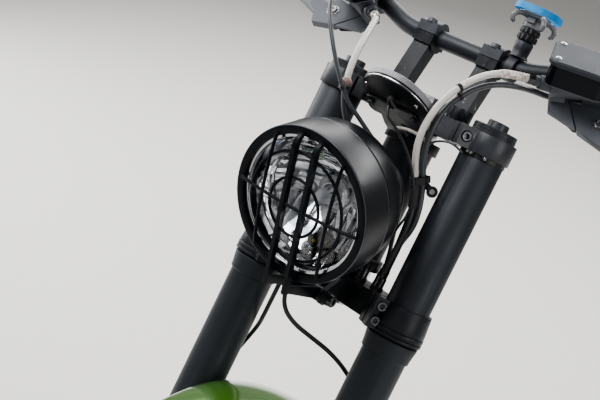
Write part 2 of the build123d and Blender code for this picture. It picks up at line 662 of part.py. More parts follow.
def guard_rod(start, middle, end):
    path = ThreePointArc(start, middle, end)
    return sweep(Plane(origin=path @ 0, z_dir=path % 0) * Circle(ROD_R), path=path)


def lamp_guard():
    reach = FLANGE_R - 3
    low_z = dome_height(reach)
    body = guard_rod((-reach, 0, low_z), (0, 0, dome_height(0)), (reach, 0, low_z))
    height = (reach ** 2 - SIDE_ROD_X ** 2) ** 0.5
    for side in (-1, 1):
        x = side * SIDE_ROD_X
        body += guard_rod((x, -height, low_z), (x, 0, dome_height(SIDE_ROD_X)), (x, height, low_z))
    for radius in RING_RADII:
        body += Pos(0, 0, dome_height(radius) - RING_BEHIND) * Torus(radius, RING_ROD_R)
    # Flat straps, from the flange's top down the front and back under the lamp to the foot bolt
    front = STRAP_FRONT
    back = STRAP_FRONT - STRAP_DEPTH
    low = -FLANGE_R - 9
    outline = Polygon((reach - 8, back), (reach - 2, 0), (reach + 2, 0), (reach - 4, front), (low, front), (low, back),
                      (-reach - 2, back), (-reach - 2, 0), (2 - reach, 0), (2 - reach, back), align=None)
    fold = (low, (front + back) / 2)
    outline += belt(fold, STRAP_DEPTH / 2, (PIVOT_Z - LAMP_Z, LAMP_Y - PIVOT_Y), 9)
    for side in (-1, 1):
        x0, x1 = sorted((side * (STRAP_X - STRAP_W / 2), side * (STRAP_X + STRAP_W / 2)))
        body += extrude(Plane.YZ.offset(x0) * outline, x1 - x0)
    foot = rod_x(9, -FOOT_HALF, FOOT_HALF, PIVOT_Z - LAMP_Z, LAMP_Y - PIVOT_Y)
    body += foot
    body -= rod_x(PIVOT_R + RUN, -FOOT_HALF - 1, FOOT_HALF + 1, PIVOT_Z - LAMP_Z, LAMP_Y - PIVOT_Y)
    return LAMP * body


# Lamp bracket on the lower yoke: two ears with the foot bolt through them
def lamp_bracket():
    r = radians(RAKE)
    pivot = (PIVOT_Y * cos(r) - PIVOT_Z * sin(r), PIVOT_Y * sin(r) + PIVOT_Z * cos(r))
    mid = (LOWER_Z[0] + LOWER_Z[1]) / 2
    root = (LAMP_PAD_Y - 12 - SEAT, mid)
    ear_in = FOOT_HALF + SIDE
    body = Pos(0, LAMP_PAD_Y - 3 - SEAT, mid) * Box(2 * ear_in + 12, 6, 24)
    for side in (-1, 1):
        ear = belt(root, 12, pivot, 10)
        body += plate_yz(ear, *sorted((side * ear_in, side * (ear_in + 6))))
        body += rod_x(8, *sorted((side * (ear_in + 6), side * (ear_in + 12))), *pivot)
    body += rod_x(PIVOT_R, -ear_in - 1, ear_in + 1, *pivot)
    return STEER * body


# Gauge: a turned case on a plate that is bolted to the front of the upper yoke
GAUGE = Pos(*GAUGE_C) * Rot(X=-GAUGE_TILT)


def gauge():
    r = GAUGE_R
    t = GAUGE_RIM
    body = lathe([
        (0, -GAUGE_BACK), (r - 9, -GAUGE_BACK), (r - 6, 2 - GAUGE_BACK), (r - 2, -1), (r, 0), (r, 3), (r - 0.8, 3.5),
        (r, 4), (r, t - 2), (r - 2, t), (r - 5, t), (r - 6, t - 2), (0, t - 2),
    ])
    return GAUGE * body


def gauge_bracket():
    half = GAUGE_PLATE / 2
    middle = -GAUGE_BACK - SEAT - half
    plate = fillet(Box(72, 30, GAUGE_PLATE).edges().filter_by(Axis.Z), 8)
    body = GAUGE * Pos(0, 8, middle) * plate
    for x in (-29, 29):
        body += GAUGE * Pos(x, 4, middle - 3) * Cylinder(4, 3)
    front = YOKE_PAD_Y - SEAT - half
    line = []
    for y in (12, 40):
        point = (STEER.inverse() * GAUGE * Pos(-GAUGE_C[0], y, middle)).position
        line.append((point.Y, point.Z))
    line += [(-46, 79.5), (-41, 87), (front, UPPER_Z[0] + 3), (front, UPPER_Z[1] - 3)]
    for a, b in zip(line, line[1:]):
        body += STEER * plate_yz(belt(a, half, b, half), -14, 14)
    return body


# Hoses and cables, from fitting to fitting. Their points are in the world
def mirrored(points):
    return [(-p[0], p[1], p[2]) for p in points]


def bar_points(points):
    return [tuple(on_bar(*p)) for p in points]


def fork_points(points):
    return [tuple(world(*p)) for p in points]


UNION_TOP = LOWER_Z[1] - 3 + UNION_H
CLUTCH_UNION = (60.5, -34.0)
LOOM_UNION = (50.0, -17.0)
CABLE_UNION = (40.0, 6.0)
GAUGE_UNION = (34.0, -29.5)
SPLITTER_C = (-45.9, -46.9, (LOWER_Z[0] + LOWER_Z[1]) / 2)
SPLITTER_TURN = 14.27       # of the lower yoke's front face from square


def yoke_unions():
    """Unions screwed in the lower yoke's upper face, one for each hose or cable that ends there."""
    body = Part()
    for x, y in (CLUTCH_UNION, LOOM_UNION, CABLE_UNION, GAUGE_UNION):
        low = LOWER_Z[1] - 3 + SEAT
        body += rod_z(5.5, low, UNION_TOP, x, y)
        body += extrude(Plane.XY.offset(low) * Pos(x, y) * RegularPolygon(7, 6), 7)
    return STEER * body


def brake_splitter():
    x, y, z = SPLITTER
    block = fillet(Box(x, y, z).edges().filter_by(Axis.Z), 2)
    body = block + rod_z(5, z / 2, z / 2 + 8, -2, 0)
    for side in (-1, 1):
        body += rod_z(4, -z / 2 - 8, -z / 2, side * 5, 0)
    return STEER * Pos(*SPLITTER_C) * Rot(Z=SPLITTER_TURN) * body


def splitter_point(x, z):
    """A point on the splitter's middle plane in the fork frame."""
    turn = radians(SPLITTER_TURN)
    return (SPLITTER_C[0] + x * cos(turn), SPLITTER_C[1] + x * sin(turn), SPLITTER_C[2] + z)


def cut_below(body, z):
    """The body above a height of the fork frame, so that a hose ends flat on its fitting."""
    return body - STEER * Pos(0, 0, z - 50) * Box(400, 400, 100)


OUTLET_NEXT = OUTLET + (OUTLET - OUTLET_ROOT).normalized() * 21
UPPER_HOSE = [tuple(OUTLET), tuple(OUTLET_NEXT)]


def clutch_hose():
    x, y = CLUTCH_UNION
    body = hose(UPPER_HOSE + [
        (84, 28, 190.5), (72, 6, 184), (63, -18, 171), (58, -39, 154), (55.5, -52, 134), (54.5, -56, 112),
        (55, -53, 91), (57.5, -48, 71), (62, -46.5, 50), (67.5, -51, 30), (69, -58, 9),
    ] + fork_points([(67, -49, -37), (63, -40, -59), (x, y, UNION_TOP - 2)]), HOSE_R)
    return cut_below(body, UNION_TOP)


def near_loom():
    x, y = LOOM_UNION
    body = hose(bar_points([
        (SWITCH_S[0] - SEAT, -6.5, -25), (122, -5.8, -25.2), (98, -5.6, -25.8), (75, -7.4, -25.6), (53, -10, -24.4),
        (34, -13, -21.5),
    ]) + [
        (109.5, 76, 171), (101, 54, 176.2), (87, 36, 177), (74.5, 16, 172.5), (65.5, -5, 162.5), (60.5, -26, 149),
        (60, -40.5, 131), (60.5, -47, 110), (61.5, -46, 89), (64, -41, 69), (68, -40, 49), (72.5, -44.5, 29),
        (73, -49.5, 9),
    ] + fork_points([(63, -39, -34), (54, -26, -57), (x, y, UNION_TOP - 2)]), LOOM_R)
    return cut_below(body, UNION_TOP)


def brake_hose():
    top = SPLITTER[2] / 2 + 8
    body = hose(mirrored(UPPER_HOSE) + [
        (-87.5, 27, 189.5), (-78, 4, 182.5), (-71, -18, 170), (-64, -38, 153), (-57, -51, 133), (-50.5, -54, 111),
        (-45, -46, 89), (-45, -37.5, 67), (-49, -36, 45), (-53.5, -40, 24),
    ] + fork_points([(-56, -44, -17), (-56.5, -46.5, -42), (-52, -47.5, -68), splitter_point(-2, top - 2)]), HOSE_R)
    return cut_below(body, SPLITTER_C[2] + top)


def throttle_cable():
    x, y = CABLE_UNION
    body = hose(mirrored(bar_points([
        (165, -24 - SEAT, -8), (165, -46, -8), (154, -67, -2), (133, -84, 6), (106, -93, 12), (77, -96, 17),
        (50, -93, 20),
    ])) + [
        (-130, -11, 215), (-109, -37, 198), (-87, -51, 174), (-66, -59, 149), (-47, -59.5, 122), (-28, -46, 99),
        (-6, -36, 76), (15, -34, 63.5), (32, -36.5, 56), (43, -40, 42), (47, -42, 23), (46, -39, 3),
    ] + fork_points([(44, -21, -37), (42, -5, -58), (x, y, UNION_TOP - 2)]), CABLE_R)
    return cut_below(body, UNION_TOP)


def brake_line(points):
    """A line from the splitter down behind a leg to its caliper."""
    end = radians(CALIPER_REACH)
    mid = sum(CALIPER_R) / 2
    mouth = caliper_point(mid * cos(end) - LINE_GAP * sin(end), mid * sin(end) + LINE_GAP * cos(end))
    side = 1 if points[-1][0] > 0 else -1
    slope = radians(CALIPER_ANGLE + CALIPER_REACH)
    run = [(side * 98, 7, -268), (side * 99, 7.5, -310), (side * 98.5, 6, -352), (side * 95, 2.5, -392)]
    last = (side * 85, mouth[0] - 26 * sin(slope), mouth[1] + 26 * cos(slope))
    return hose(fork_points(points + run + [(side * 90, -1.5, -424), last, (side * 85, *mouth)]), LINE_R)


def brake_line_right():
    low = -SPLITTER[2] / 2 - 8
    return brake_line([splitter_point(-5, low), splitter_point(-5, low - 18), (-55, -41, -168), (-65, -23, -190),
                       (-78, -1, -212), (-91, 9, -240)])


def brake_line_left():
    low = -SPLITTER[2] / 2 - 8
    return brake_line([splitter_point(5, low), splitter_point(5, low - 18), (-32, -45.5, -168), (-12, -43, -178),
                       (14, -38, -182), (40, -26, -188), (60, -10, -200), (77, 4, -217), (90, 9, -242)])


def gauge_cable():
    x, y = GAUGE_UNION
    root = GAUGE * Pos(*GAUGE_CABLE, -GAUGE_BACK - SEAT)
    body = hose([
        tuple(root.position), tuple((root * Pos(0, 0, -17)).position), (28.5, -62, 117), (45.5, -61.5, 100.5),
        (61, -61, 78), (70, -60, 51.5), (68.5, -62, 27), (60, -61.5, 6), (50, -55, -19),
    ] + fork_points([(x, y, UNION_TOP + 20), (x, y, UNION_TOP - 2)]), WIRE_R)
    return cut_below(body, UNION_TOP)


# Wheel, fork and yokes
parts["steering_head"] = steering_head()
parts["steering_stem"] = steering_stem()
parts["upper_yoke"] = upper_yoke()
parts["lower_yoke"] = lower_yoke()
both_sides("fork_tube", fork_tube())
both_sides("fork_cap", fork_cap())
both_sides("stanchion", stanchion())
both_sides("fork_foot", fork_foot())
both_sides("caliper", caliper())
parts["wheel_axle"] = wheel_axle()
parts["wheel_rim"] = wheel_rim()
parts["tyre"] = tyre()
both_sides("brake_disc", brake_disc())
parts["mudguard"] = mudguard()
parts["handlebar"] = handlebar()
both_sides("bar_riser", bar_riser())
both_sides("grip", grip())
both_sides("switch_housing", switch_housing())
both_sides("master_cylinder", master_cylinder())
both_sides("lever", lever())
parts["lamp_bucket"] = lamp_bucket()
parts["lamp_trim"] = lamp_trim()
parts["lamp_reflector"] = lamp_reflector()
parts["lamp_lens"] = lamp_lens()
parts["lamp_guard"] = lamp_guard()
parts["lamp_bracket"] = lamp_bracket()
parts["gauge"] = gauge()
parts["gauge_bracket"] = gauge_bracket()
parts["phone_mount"] = phone_mount()
parts["yoke_unions"] = yoke_unions()
parts["brake_splitter"] = brake_splitter()
parts["clutch_hose"] = clutch_hose()
parts["near_loom"] = near_loom()
parts["brake_hose"] = brake_hose()
parts["throttle_cable"] = throttle_cable()
parts["gauge_cable"] = gauge_cable()
parts["brake_line_right"] = brake_line_right()
parts["brake_line_left"] = brake_line_left()

for name, solid in parts.items():
    export_step(solid, os.path.join("parts", name + ".step"))
print(len(parts), "nodes written")
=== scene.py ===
# %% [markdown]
# # The front end of a cafe racer
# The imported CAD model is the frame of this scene: it says where every piece is and which body it moves with.
# Here each piece gets the finish of the real one, and what CAD leaves plain, such as wires, braid, glass and
# screw heads, is built over it. Lengths are in millimetres until a placing matrix turns them into metres.

import random
from math import acos, atan2, cos, pi, radians, sin, sqrt, tau

import bmesh
import bpy
from mathutils import Matrix, Vector


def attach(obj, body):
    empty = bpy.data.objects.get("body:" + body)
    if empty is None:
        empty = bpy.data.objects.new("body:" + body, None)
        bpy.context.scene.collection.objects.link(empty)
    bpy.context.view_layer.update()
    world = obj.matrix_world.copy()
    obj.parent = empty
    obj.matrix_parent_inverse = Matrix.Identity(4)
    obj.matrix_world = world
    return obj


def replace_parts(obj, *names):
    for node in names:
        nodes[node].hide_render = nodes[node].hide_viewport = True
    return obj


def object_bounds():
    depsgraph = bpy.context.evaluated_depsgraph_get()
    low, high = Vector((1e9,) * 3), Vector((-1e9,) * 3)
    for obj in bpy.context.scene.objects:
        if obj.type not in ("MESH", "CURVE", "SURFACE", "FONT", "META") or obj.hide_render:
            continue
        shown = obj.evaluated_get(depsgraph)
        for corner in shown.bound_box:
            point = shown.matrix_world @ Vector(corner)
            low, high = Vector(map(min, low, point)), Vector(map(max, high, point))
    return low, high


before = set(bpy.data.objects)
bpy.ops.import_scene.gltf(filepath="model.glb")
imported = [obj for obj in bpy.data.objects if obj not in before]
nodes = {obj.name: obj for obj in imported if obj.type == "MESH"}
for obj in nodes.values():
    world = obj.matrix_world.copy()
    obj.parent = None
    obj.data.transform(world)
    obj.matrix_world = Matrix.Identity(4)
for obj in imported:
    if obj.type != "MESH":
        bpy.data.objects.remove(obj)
cad_box = [list(corner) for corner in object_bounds()]
print("CAD nodes:", len(nodes))

# %% [markdown]
# ## Frames of reference
# A fork is drawn straight and then leaned back, so the drawing stays square to its own axis. Every sub-assembly
# here has such a frame: a matrix that takes its own millimetres to the metres of the scene. The lamp's Z points
# forward out of the glass, the gauge's Z out of its dial, and the bar's X out along its left half.

# %% Placing matrices
MM = 0.001
RAKE = 24.5


def shift(x, y, z):
    return Matrix.Translation((x, y, z))


def turn(degrees, axis):
    return Matrix.Rotation(radians(degrees), 4, axis)


WORLD = Matrix.Scale(MM, 4)
METRES = Matrix.Identity(4)     # for what is in metres already
HANDS = {"left": METRES, "right": Matrix.Scale(-1, 4, (1, 0, 0))}    # from the left side to either side
STEER = WORLD @ turn(-RAKE, "X")
LAMP_MID = Vector((0, -177, 38))
LAMP = WORLD @ Matrix.Translation(LAMP_MID) @ turn(90, "X")
GAUGE = WORLD @ shift(6, -39.5, 134) @ turn(-48.5, "X")
LEG_X, LEG_Y = 102, -28
AXLE_Z = -585
WHEEL = STEER @ shift(0, LEG_Y, AXLE_Z) @ turn(90, "Y")

bar_bend = turn(-RAKE, "X") @ Vector((78, 10, 202))
bar_out = Vector((1, 0.4, 0.2)).normalized()
bar_up = (Vector((0, 0, 1)) - bar_out * bar_out.z).normalized()


def axes(x, y, z):
    """A turning matrix from its three directions."""
    return Matrix((x, y, z)).transposed().to_4x4()


BAR = WORLD @ Matrix.Translation(bar_bend) @ axes(bar_out, bar_up.cross(bar_out), bar_up)
LEVER = BAR @ shift(0, -20, -18) @ turn(180, "Z") @ turn(-37, "X")
TANK = shift(70, -46, 18) @ turn(14, "Y") @ turn(12, "X")    # the brake fluid's reservoir, in the bar's frame
print("bar bends at", [round(v) for v in bar_bend], "mm")

# %% [markdown]
# ## Camera
# The photograph looks down on the left of the lamp from a little over a metre away. The picture leans, because
# the motorcycle leans on its side stand while this scene keeps it upright, so the camera is rolled instead.

# %% Camera at the photograph's viewing angle
AZIMUTH = radians(33.71)
ELEVATION = radians(25.66)
ROLL = radians(12.61)
DISTANCE = 1171.58
AIM = (1.91, 5.94)          # middle of the picture, to the right of the lamp's middle and above it


def in_scene(name, data):
    obj = bpy.data.objects.new(name, data)
    bpy.context.scene.collection.objects.link(obj)
    return obj


back = Vector((sin(AZIMUTH) * cos(ELEVATION), -cos(AZIMUTH) * cos(ELEVATION), sin(ELEVATION)))
sideways = Vector((cos(AZIMUTH), sin(AZIMUTH), 0))
upright = back.cross(sideways)
right = cos(ROLL) * sideways + sin(ROLL) * upright
up = -sin(ROLL) * sideways + cos(ROLL) * upright
spot = LAMP_MID + DISTANCE * back + AIM[0] * right + AIM[1] * up

camera = in_scene("camera", bpy.data.cameras.new("camera"))
camera.matrix_world = Matrix.Translation(spot * MM) @ axes(right, up, back)
camera.data.sensor_width = 36
camera.data.lens = 66.07
camera.data.clip_start = 0.01
bpy.context.scene.camera = camera
print("camera at", [round(v) for v in spot], "mm")

# %% [markdown]
# ## Floor and light
# Black satin metal shows its form only by what it reflects. A few large soft lamps give it long gradients: one
# overhead as the open sky, a second patch of sky and a strip behind for the edges, and two walls at the sides.

# %% Floor and studio light
FLOOR_HALF = 12.0


def feed(node, values):
    """Gives inputs of a node their values. A value that is another node's output is linked."""
    for name, value in values.items():
        if isinstance(value, bpy.types.NodeSocket):
            node.id_data.links.new(value, node.inputs[name])
        else:
            node.inputs[name].default_value = value


def soft_light(name, place, width, height, power):
    """A rectangular lamp that is aimed at the middle of the part."""
    lamp = bpy.data.lights.new(name, "AREA")
    lamp.shape = "RECTANGLE"
    lamp.size, lamp.size_y = width, height
    lamp.energy = power
    obj = in_scene(name, lamp)
    obj.location = place
    obj.rotation_euler = (Vector(place) - Vector((0, -0.1, 0))).to_track_quat("Z", "Y").to_euler()


soft_light("sky", (-1.2, -1.4, 2.6), 2.6, 2.0, 115)
soft_light("left_wall", (-2.4, 0.4, 0.8), 1.6, 2.4, 55)
soft_light("right_wall", (2.6, -0.6, 0.9), 1.2, 2.2, 30)
soft_light("back_strip", (0.6, 2.2, 1.6), 2.4, 0.6, 60)
soft_light("far_sky", (-1.6, 2.3, 1.6), 2.2, 1.5, 58)

world = bpy.data.worlds.new("pale_room")
world.use_nodes = True
feed(world.node_tree.nodes["Background"], {"Color": (0.80, 0.79, 0.77, 1), "Strength": 0.36})
bpy.context.scene.world = world
bpy.context.scene.view_settings.look = "AgX - Medium High Contrast"

floor_z = cad_box[0][2]
corners = [(FLOOR_HALF * x, FLOOR_HALF * y, floor_z) for x, y in ((-1, -1), (1, -1), (1, 1), (-1, 1))]
floor_mesh = bpy.data.meshes.new("floor")
floor_mesh.from_pydata(corners, [], [(0, 1, 2, 3)])
floor = in_scene("floor", floor_mesh)
floor_look = bpy.data.materials.new("floor_pale")
floor_look.use_nodes = True
feed(floor_look.node_tree.nodes["Principled BSDF"], {"Base Color": (0.62, 0.61, 0.59, 1), "Roughness": 0.8})
floor_mesh.materials.append(floor_look)
print("floor at", round(floor_z, 3), "m")

# %% [markdown]
# ## How a finish is mixed
# A real coating is never one flat value. One slow noise moves the colour and the gloss a little, as handling and
# casting do, and one fine noise lifts the surface by some hundredths of a millimetre for the grain. Both run in
# the object's own coordinates, so they need no unwrapping. The record's slot name is kept on the material, so
# each new piece can say which slot it takes its finish from.

# %% A mixer for finishes
LOOKS = {}


def node_after(kind, values, output=0, **settings):
    """A new node behind the outputs that values names. Returns one of its own outputs."""
    tree = next(v.id_data for v in values.values() if isinstance(v, bpy.types.NodeSocket))
    node = tree.nodes.new("ShaderNode" + kind)
    for name, value in settings.items():
        setattr(node, name, value)
    feed(node, values)
    return node.outputs[output]


def noise(place, scale, detail=3.0, stretch=(1, 1, 1)):
    """A noise in the object's own metres, squeezed along an axis where stretch is over 1."""
    size = node_after("Mapping", {"Vector": place, "Scale": stretch})
    return node_after("TexNoise", {"Vector": size, "Scale": scale, "Detail": detail})


def spread(value, low, high, start=0.3, end=0.7):
    """Moves a value of the range start to end onto low to high."""
    return node_after("MapRange", {"Value": value, "From Min": start, "From Max": end, "To Min": low, "To Max": high})


def two_tones(value, dark, light):
    """A colour between dark and light. Each is a colour or another node's output."""
    a, b = ((*tone, 1) if isinstance(tone, tuple) else tone for tone in (dark, light))
    return node_after("Mix", {"Factor": value, "A": a, "B": b}, "Result", data_type="RGBA")


def calculated(operation, a, b=0.5):
    """One step of arithmetic on a value."""
    return node_after("Math", {0: a, 1: b}, operation=operation)


def lift(shader, height, depth):
    """Raises the surface by depth metres where height is 1."""
    feed(shader, {"Normal": node_after("Bump", {"Distance": depth, "Height": height})})


def coat_with(shader, tone, dark, light, dullness, gloss, grain, depth):
    """Colour from dark to light, roughness over the gloss pair, and a grain, each led by its own noise."""
    feed(shader, {"Base Color": two_tones(tone, dark, light), "Roughness": spread(dullness, *gloss)})
    lift(shader, grain, depth)


def even_finish(name, slot, metal=0.0, coat=0.0, coat_rough=0.08, clear=0.0, shine=0.5):
    """A finish that is kept under its name. Returns its shader and the object's own coordinates."""
    LOOKS[name] = material = bpy.data.materials.new(name)
    material.use_nodes = True
    material["slot"] = slot
    shader = material.node_tree.nodes["Principled BSDF"]
    feed(shader, {"Metallic": metal, "Coat Weight": coat, "Coat Roughness": coat_rough,
                  "Transmission Weight": clear, "Specular IOR Level": shine})
    return shader, material.node_tree.nodes.new("ShaderNodeTexCoord").outputs["Object"]


def finish(name, slot, dark, light, gloss, metal=0.0, coat=0.0, mottle=30, grain=2400, depth=1e-5,
           stretch=(1, 1, 1), shine=0.5):
    """A varied finish: colour from dark to light, roughness over the gloss pair, and a fine grain."""
    shader, place = even_finish(name, slot, metal, coat, shine=shine)
    cloud = spread(noise(place, mottle, 4.0, stretch), 0, 1)
    coat_with(shader, cloud, dark, light, noise(place, mottle * 2.3, 2.0, stretch), gloss,
              noise(place, grain, 2.0, stretch), depth)


# %% [markdown]
# ## The finishes
# A finish is a dark and a light colour of the same coat, how rough it is, and how fine its grain. Paint and cast
# metal differ little in colour here, nearly all is black, so the gloss and the grain tell them apart. Bare metal
# has its own colour in what it reflects. Braid and tape get a coarser mottle, which reads as threads and dirt.

# %% Painted and cast finishes
finish("tube_black", "black_tube", (0.014, 0.017, 0.022), (0.020, 0.024, 0.031), (0.46, 0.54), 0.35,
       grain=2600, depth=6e-6, stretch=(1, 1, 0.15))
finish("cast_black", "black_cast", (0.007, 0.009, 0.012), (0.015, 0.017, 0.022), (0.34, 0.48),
       grain=1500, depth=3e-5, shine=0.26)
finish("cast_satin", "black_cast", (0.020, 0.023, 0.028), (0.036, 0.040, 0.047), (0.34, 0.46),
       mottle=50, grain=1500, depth=3e-5, shine=0.42)
finish("bar_black", "black_bar", (0.020, 0.023, 0.030), (0.027, 0.031, 0.039), (0.42, 0.50), 0.2,
       mottle=14, depth=4e-6)
finish("lamp_black", "lamp_black", (0.004, 0.005, 0.007), (0.007, 0.008, 0.011), (0.30, 0.36),
       mottle=16, grain=2200, depth=3e-6, shine=0.42)
# Lighter grey for the thin beads along the lamp's edges: a painted highlight, the light lines that those edges catch.
finish("edge_worn", "lamp_black", (0.085, 0.092, 0.105), (0.130, 0.140, 0.158), (0.24, 0.32), 0.6,
       mottle=16, depth=3e-6)
finish("wire_black", "lamp_black", (0.003, 0.004, 0.006), (0.006, 0.008, 0.011), (0.30, 0.42),
       grain=1800, shine=0.13)
finish("control_grey", "black_cast", (0.055, 0.061, 0.071), (0.080, 0.087, 0.100), (0.42, 0.52), 0.3,
       grain=2200, depth=1.6e-5)
finish("lever_black", "lever_alloy", (0.080, 0.087, 0.101), (0.108, 0.117, 0.134), (0.40, 0.50), 0.4)
finish("green_gloss", "green", (0.045, 0.130, 0.012), (0.070, 0.190, 0.018), (0.16, 0.24), 0.35, 1.0,
       mottle=14, grain=5200, depth=4e-6)
print("painted and cast finishes:", len(LOOKS))

# %% Bare metal, rubber, plastic and braid
finish("bolt_dark", "steel", (0.05, 0.05, 0.055), (0.10, 0.10, 0.11), (0.22, 0.38), 0.9,
       mottle=200, grain=3000, depth=8e-6)
finish("bolt_bright", "steel", (0.42, 0.42, 0.43), (0.62, 0.62, 0.63), (0.18, 0.30), 1.0,
       mottle=200, grain=3000, depth=6e-6)
finish("turned_steel", "steel", (0.38, 0.38, 0.39), (0.55, 0.55, 0.56), (0.22, 0.36), 1.0,
       mottle=60, depth=8e-6)
finish("stanchion_chrome", "chrome", (0.62, 0.62, 0.64), (0.72, 0.72, 0.74), (0.05, 0.12), 1.0,
       mottle=20, grain=3000, depth=2e-6)
finish("bezel_silver", "chrome", (0.42, 0.43, 0.45), (0.60, 0.61, 0.63), (0.14, 0.22), 1.0, mottle=18, depth=3e-6)
finish("gauge_band", "chrome", (0.15, 0.15, 0.16), (0.23, 0.23, 0.24), (0.38, 0.48), 0.6, mottle=22, depth=2e-5)
finish("ferrule_pale", "steel", (0.42, 0.38, 0.34), (0.58, 0.54, 0.50), (0.30, 0.40), 0.3,
       mottle=180, grain=1800, depth=5e-6)
finish("hose_black", "black_hose", (0.009, 0.010, 0.012), (0.017, 0.019, 0.023), (0.34, 0.46))
finish("braid_pale", "braided_hose", (0.36, 0.33, 0.30), (0.58, 0.54, 0.50), (0.36, 0.48),
       mottle=180, grain=1800, depth=3e-5)
finish("clear_wrap", "braided_hose", (0.30, 0.19, 0.17), (0.78, 0.75, 0.72), (0.25, 0.40),
       mottle=260, grain=1800, depth=2e-5)
finish("sleeve_grey", "black_hose", (0.034, 0.037, 0.043), (0.056, 0.060, 0.068), (0.32, 0.44),
       mottle=90, depth=2e-5, stretch=(1, 1, 0.2))
finish("tape_brown", "black_hose", (0.13, 0.075, 0.062), (0.34, 0.22, 0.19), (0.42, 0.56),
       mottle=220, grain=1600, depth=3e-5)
finish("rubber_dark", "grip_rubber", (0.012, 0.012, 0.013), (0.022, 0.022, 0.024), (0.60, 0.78),
       grain=1600, depth=4e-5)
finish("tyre_black", "tyre_rubber", (0.010, 0.010, 0.010), (0.026, 0.025, 0.024), (0.62, 0.82),
       mottle=22, grain=900, depth=6e-5)
finish("plastic_black", "black_plastic", (0.006, 0.006, 0.008), (0.012, 0.012, 0.015), (0.38, 0.50),
       grain=2600, depth=2e-5, shine=0.4)
finish("gauge_black", "black_plastic", (0.004, 0.005, 0.006), (0.008, 0.009, 0.011), (0.34, 0.44),
       mottle=18, depth=6e-6, shine=0.25)
finish("holder_grey", "black_plastic", (0.12, 0.125, 0.13), (0.18, 0.185, 0.195), (0.36, 0.48))
finish("elastic_blue", "black_plastic", (0.005, 0.16, 0.42), (0.010, 0.24, 0.55), (0.45, 0.6),
       grain=1200, depth=4e-5)
finish("dial_face", "black_plastic", (0.006, 0.006, 0.007), (0.010, 0.010, 0.012), (0.45, 0.55),
       grain=2600, depth=5e-6)
finish("dial_white", "black_plastic", (0.70, 0.70, 0.68), (0.80, 0.80, 0.78), (0.45, 0.55),
       grain=2600, depth=4e-6)
finish("needle_red", "black_plastic", (0.50, 0.03, 0.01), (0.62, 0.05, 0.02), (0.35, 0.45),
       grain=2600, depth=4e-6)
finish("bulb_glass", "lens", (0.75, 0.78, 0.82), (0.85, 0.87, 0.90), (0.03, 0.08), coat=0.5,
       grain=1400, depth=2e-5)
finish("mark_yellow", "lens", (0.55, 0.42, 0.02), (0.70, 0.55, 0.04), (0.3, 0.4), grain=1400, depth=2e-5)
print("finishes mixed:", len(LOOKS))

# %% [markdown]
# ## Making solids from rings
# Most of these pieces are round, or the same along some line: tubes, bolts, grips, glass. Such a piece is a row
# of rings with skin between them. Writing the rings in code keeps every size exact, where pushing points by
# hand would not. A bevel modifier then breaks the sharp edges, because a real edge always catches some light.


# %% Rings and skins
def circle(radius, z, count=64, lobes=0, depth=0.0):
    """A ring in a plane across Z. With lobes its radius swells and sinks that many times."""
    points = []
    for i in range(count):
        angle = tau * i / count
        r = radius * (1 + depth * cos(lobes * angle))
        points.append(Vector((r * cos(angle), r * sin(angle), z)))
    return points


def skin(rings, ends=True, loop=False):
    """Quads between rings of equal count, and a face over each open end."""
    count = len(rings[0])
    points = [p for ring in rings for p in ring]
    faces = []
    for k in range(len(rings) if loop else len(rings) - 1):
        a, b = k * count, (k + 1) % len(rings) * count
        for i in range(count):
            j = (i + 1) % count
            faces.append((a + i, a + j, b + j, b + i))
    if ends and not loop:
        faces += [tuple(range(count)), tuple(range(len(points) - count, len(points)))]
    return points, faces


def turned(outline, count=96, loop=False):
    """A lathe piece from (radius, height) pairs."""
    return skin([circle(max(r, 1e-4), z, count) for r, z in outline], ends=False, loop=loop)


def plate(outline, z0, z1):
    """A flat piece between two heights."""
    return skin([[Vector((x, y, z)) for x, y in outline] for z in (z0, z1)])


def rounded(corners, radius, steps=6):
    """A closed outline whose corners are rounded off."""
    out = []
    for i, corner in enumerate(corners):
        c = Vector(corner)
        a = (Vector(corners[i - 1]) - c).normalized()
        b = (Vector(corners[(i + 1) % len(corners)]) - c).normalized()
        half = acos(max(-1, min(1, a.dot(b)))) / 2
        reach = radius / max(sin(half) / cos(half), 1e-3)
        p, q = c + a * reach, c + b * reach
        for k in range(steps + 1):
            t = k / steps
            out.append(((1 - t) ** 2 * p + 2 * t * (1 - t) * c + t * t * q).to_tuple())
    return out


def tablet(half_x, half_y, z0, z1, radius=0.0):
    """A rectangular plate, with rounded corners where a radius is given."""
    outline = [(-half_x, -half_y), (half_x, -half_y), (half_x, half_y), (-half_x, half_y)]
    return plate(rounded(outline, radius) if radius else outline, z0, z1)


# %% [markdown]
# ## From a shape to a piece
# A shape is points and faces, nothing more, so it can be copied, mirrored and joined before Blender makes a mesh of
# it. A piece is that mesh with its finish. It also says which body of the model it moves with, and which slot of the
# record its finish stands for.


# %% Pieces of the scene
def placed(shape, place):
    points, faces = shape
    return [place @ p for p in points], faces


def joined(shapes):
    points, faces = [], []
    for p, f in shapes:
        base = len(points)
        points += p
        faces += [tuple(base + i for i in face) for face in f]
    return points, faces


def copies(shape, places):
    """The same shape at several places, as one shape."""
    return joined([placed(shape, place) for place in places])


def soften(obj, width):
    """Breaks sharp edges over a width in millimetres."""
    bevel = obj.modifiers.new("broken_edges", "BEVEL")
    bevel.width = width * MM
    bevel.segments = 2
    bevel.limit_method = "ANGLE"
    bevel.angle_limit = radians(35)
    bevel.harden_normals = True


def dressed(name, mesh, look, body, bevel=0.0):
    """An object with a finish, riding on a body of the CAD model."""
    obj = in_scene(name, mesh)
    mesh.materials.append(LOOKS[look])
    if bevel:
        soften(obj, bevel)
    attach(obj, body)
    return obj


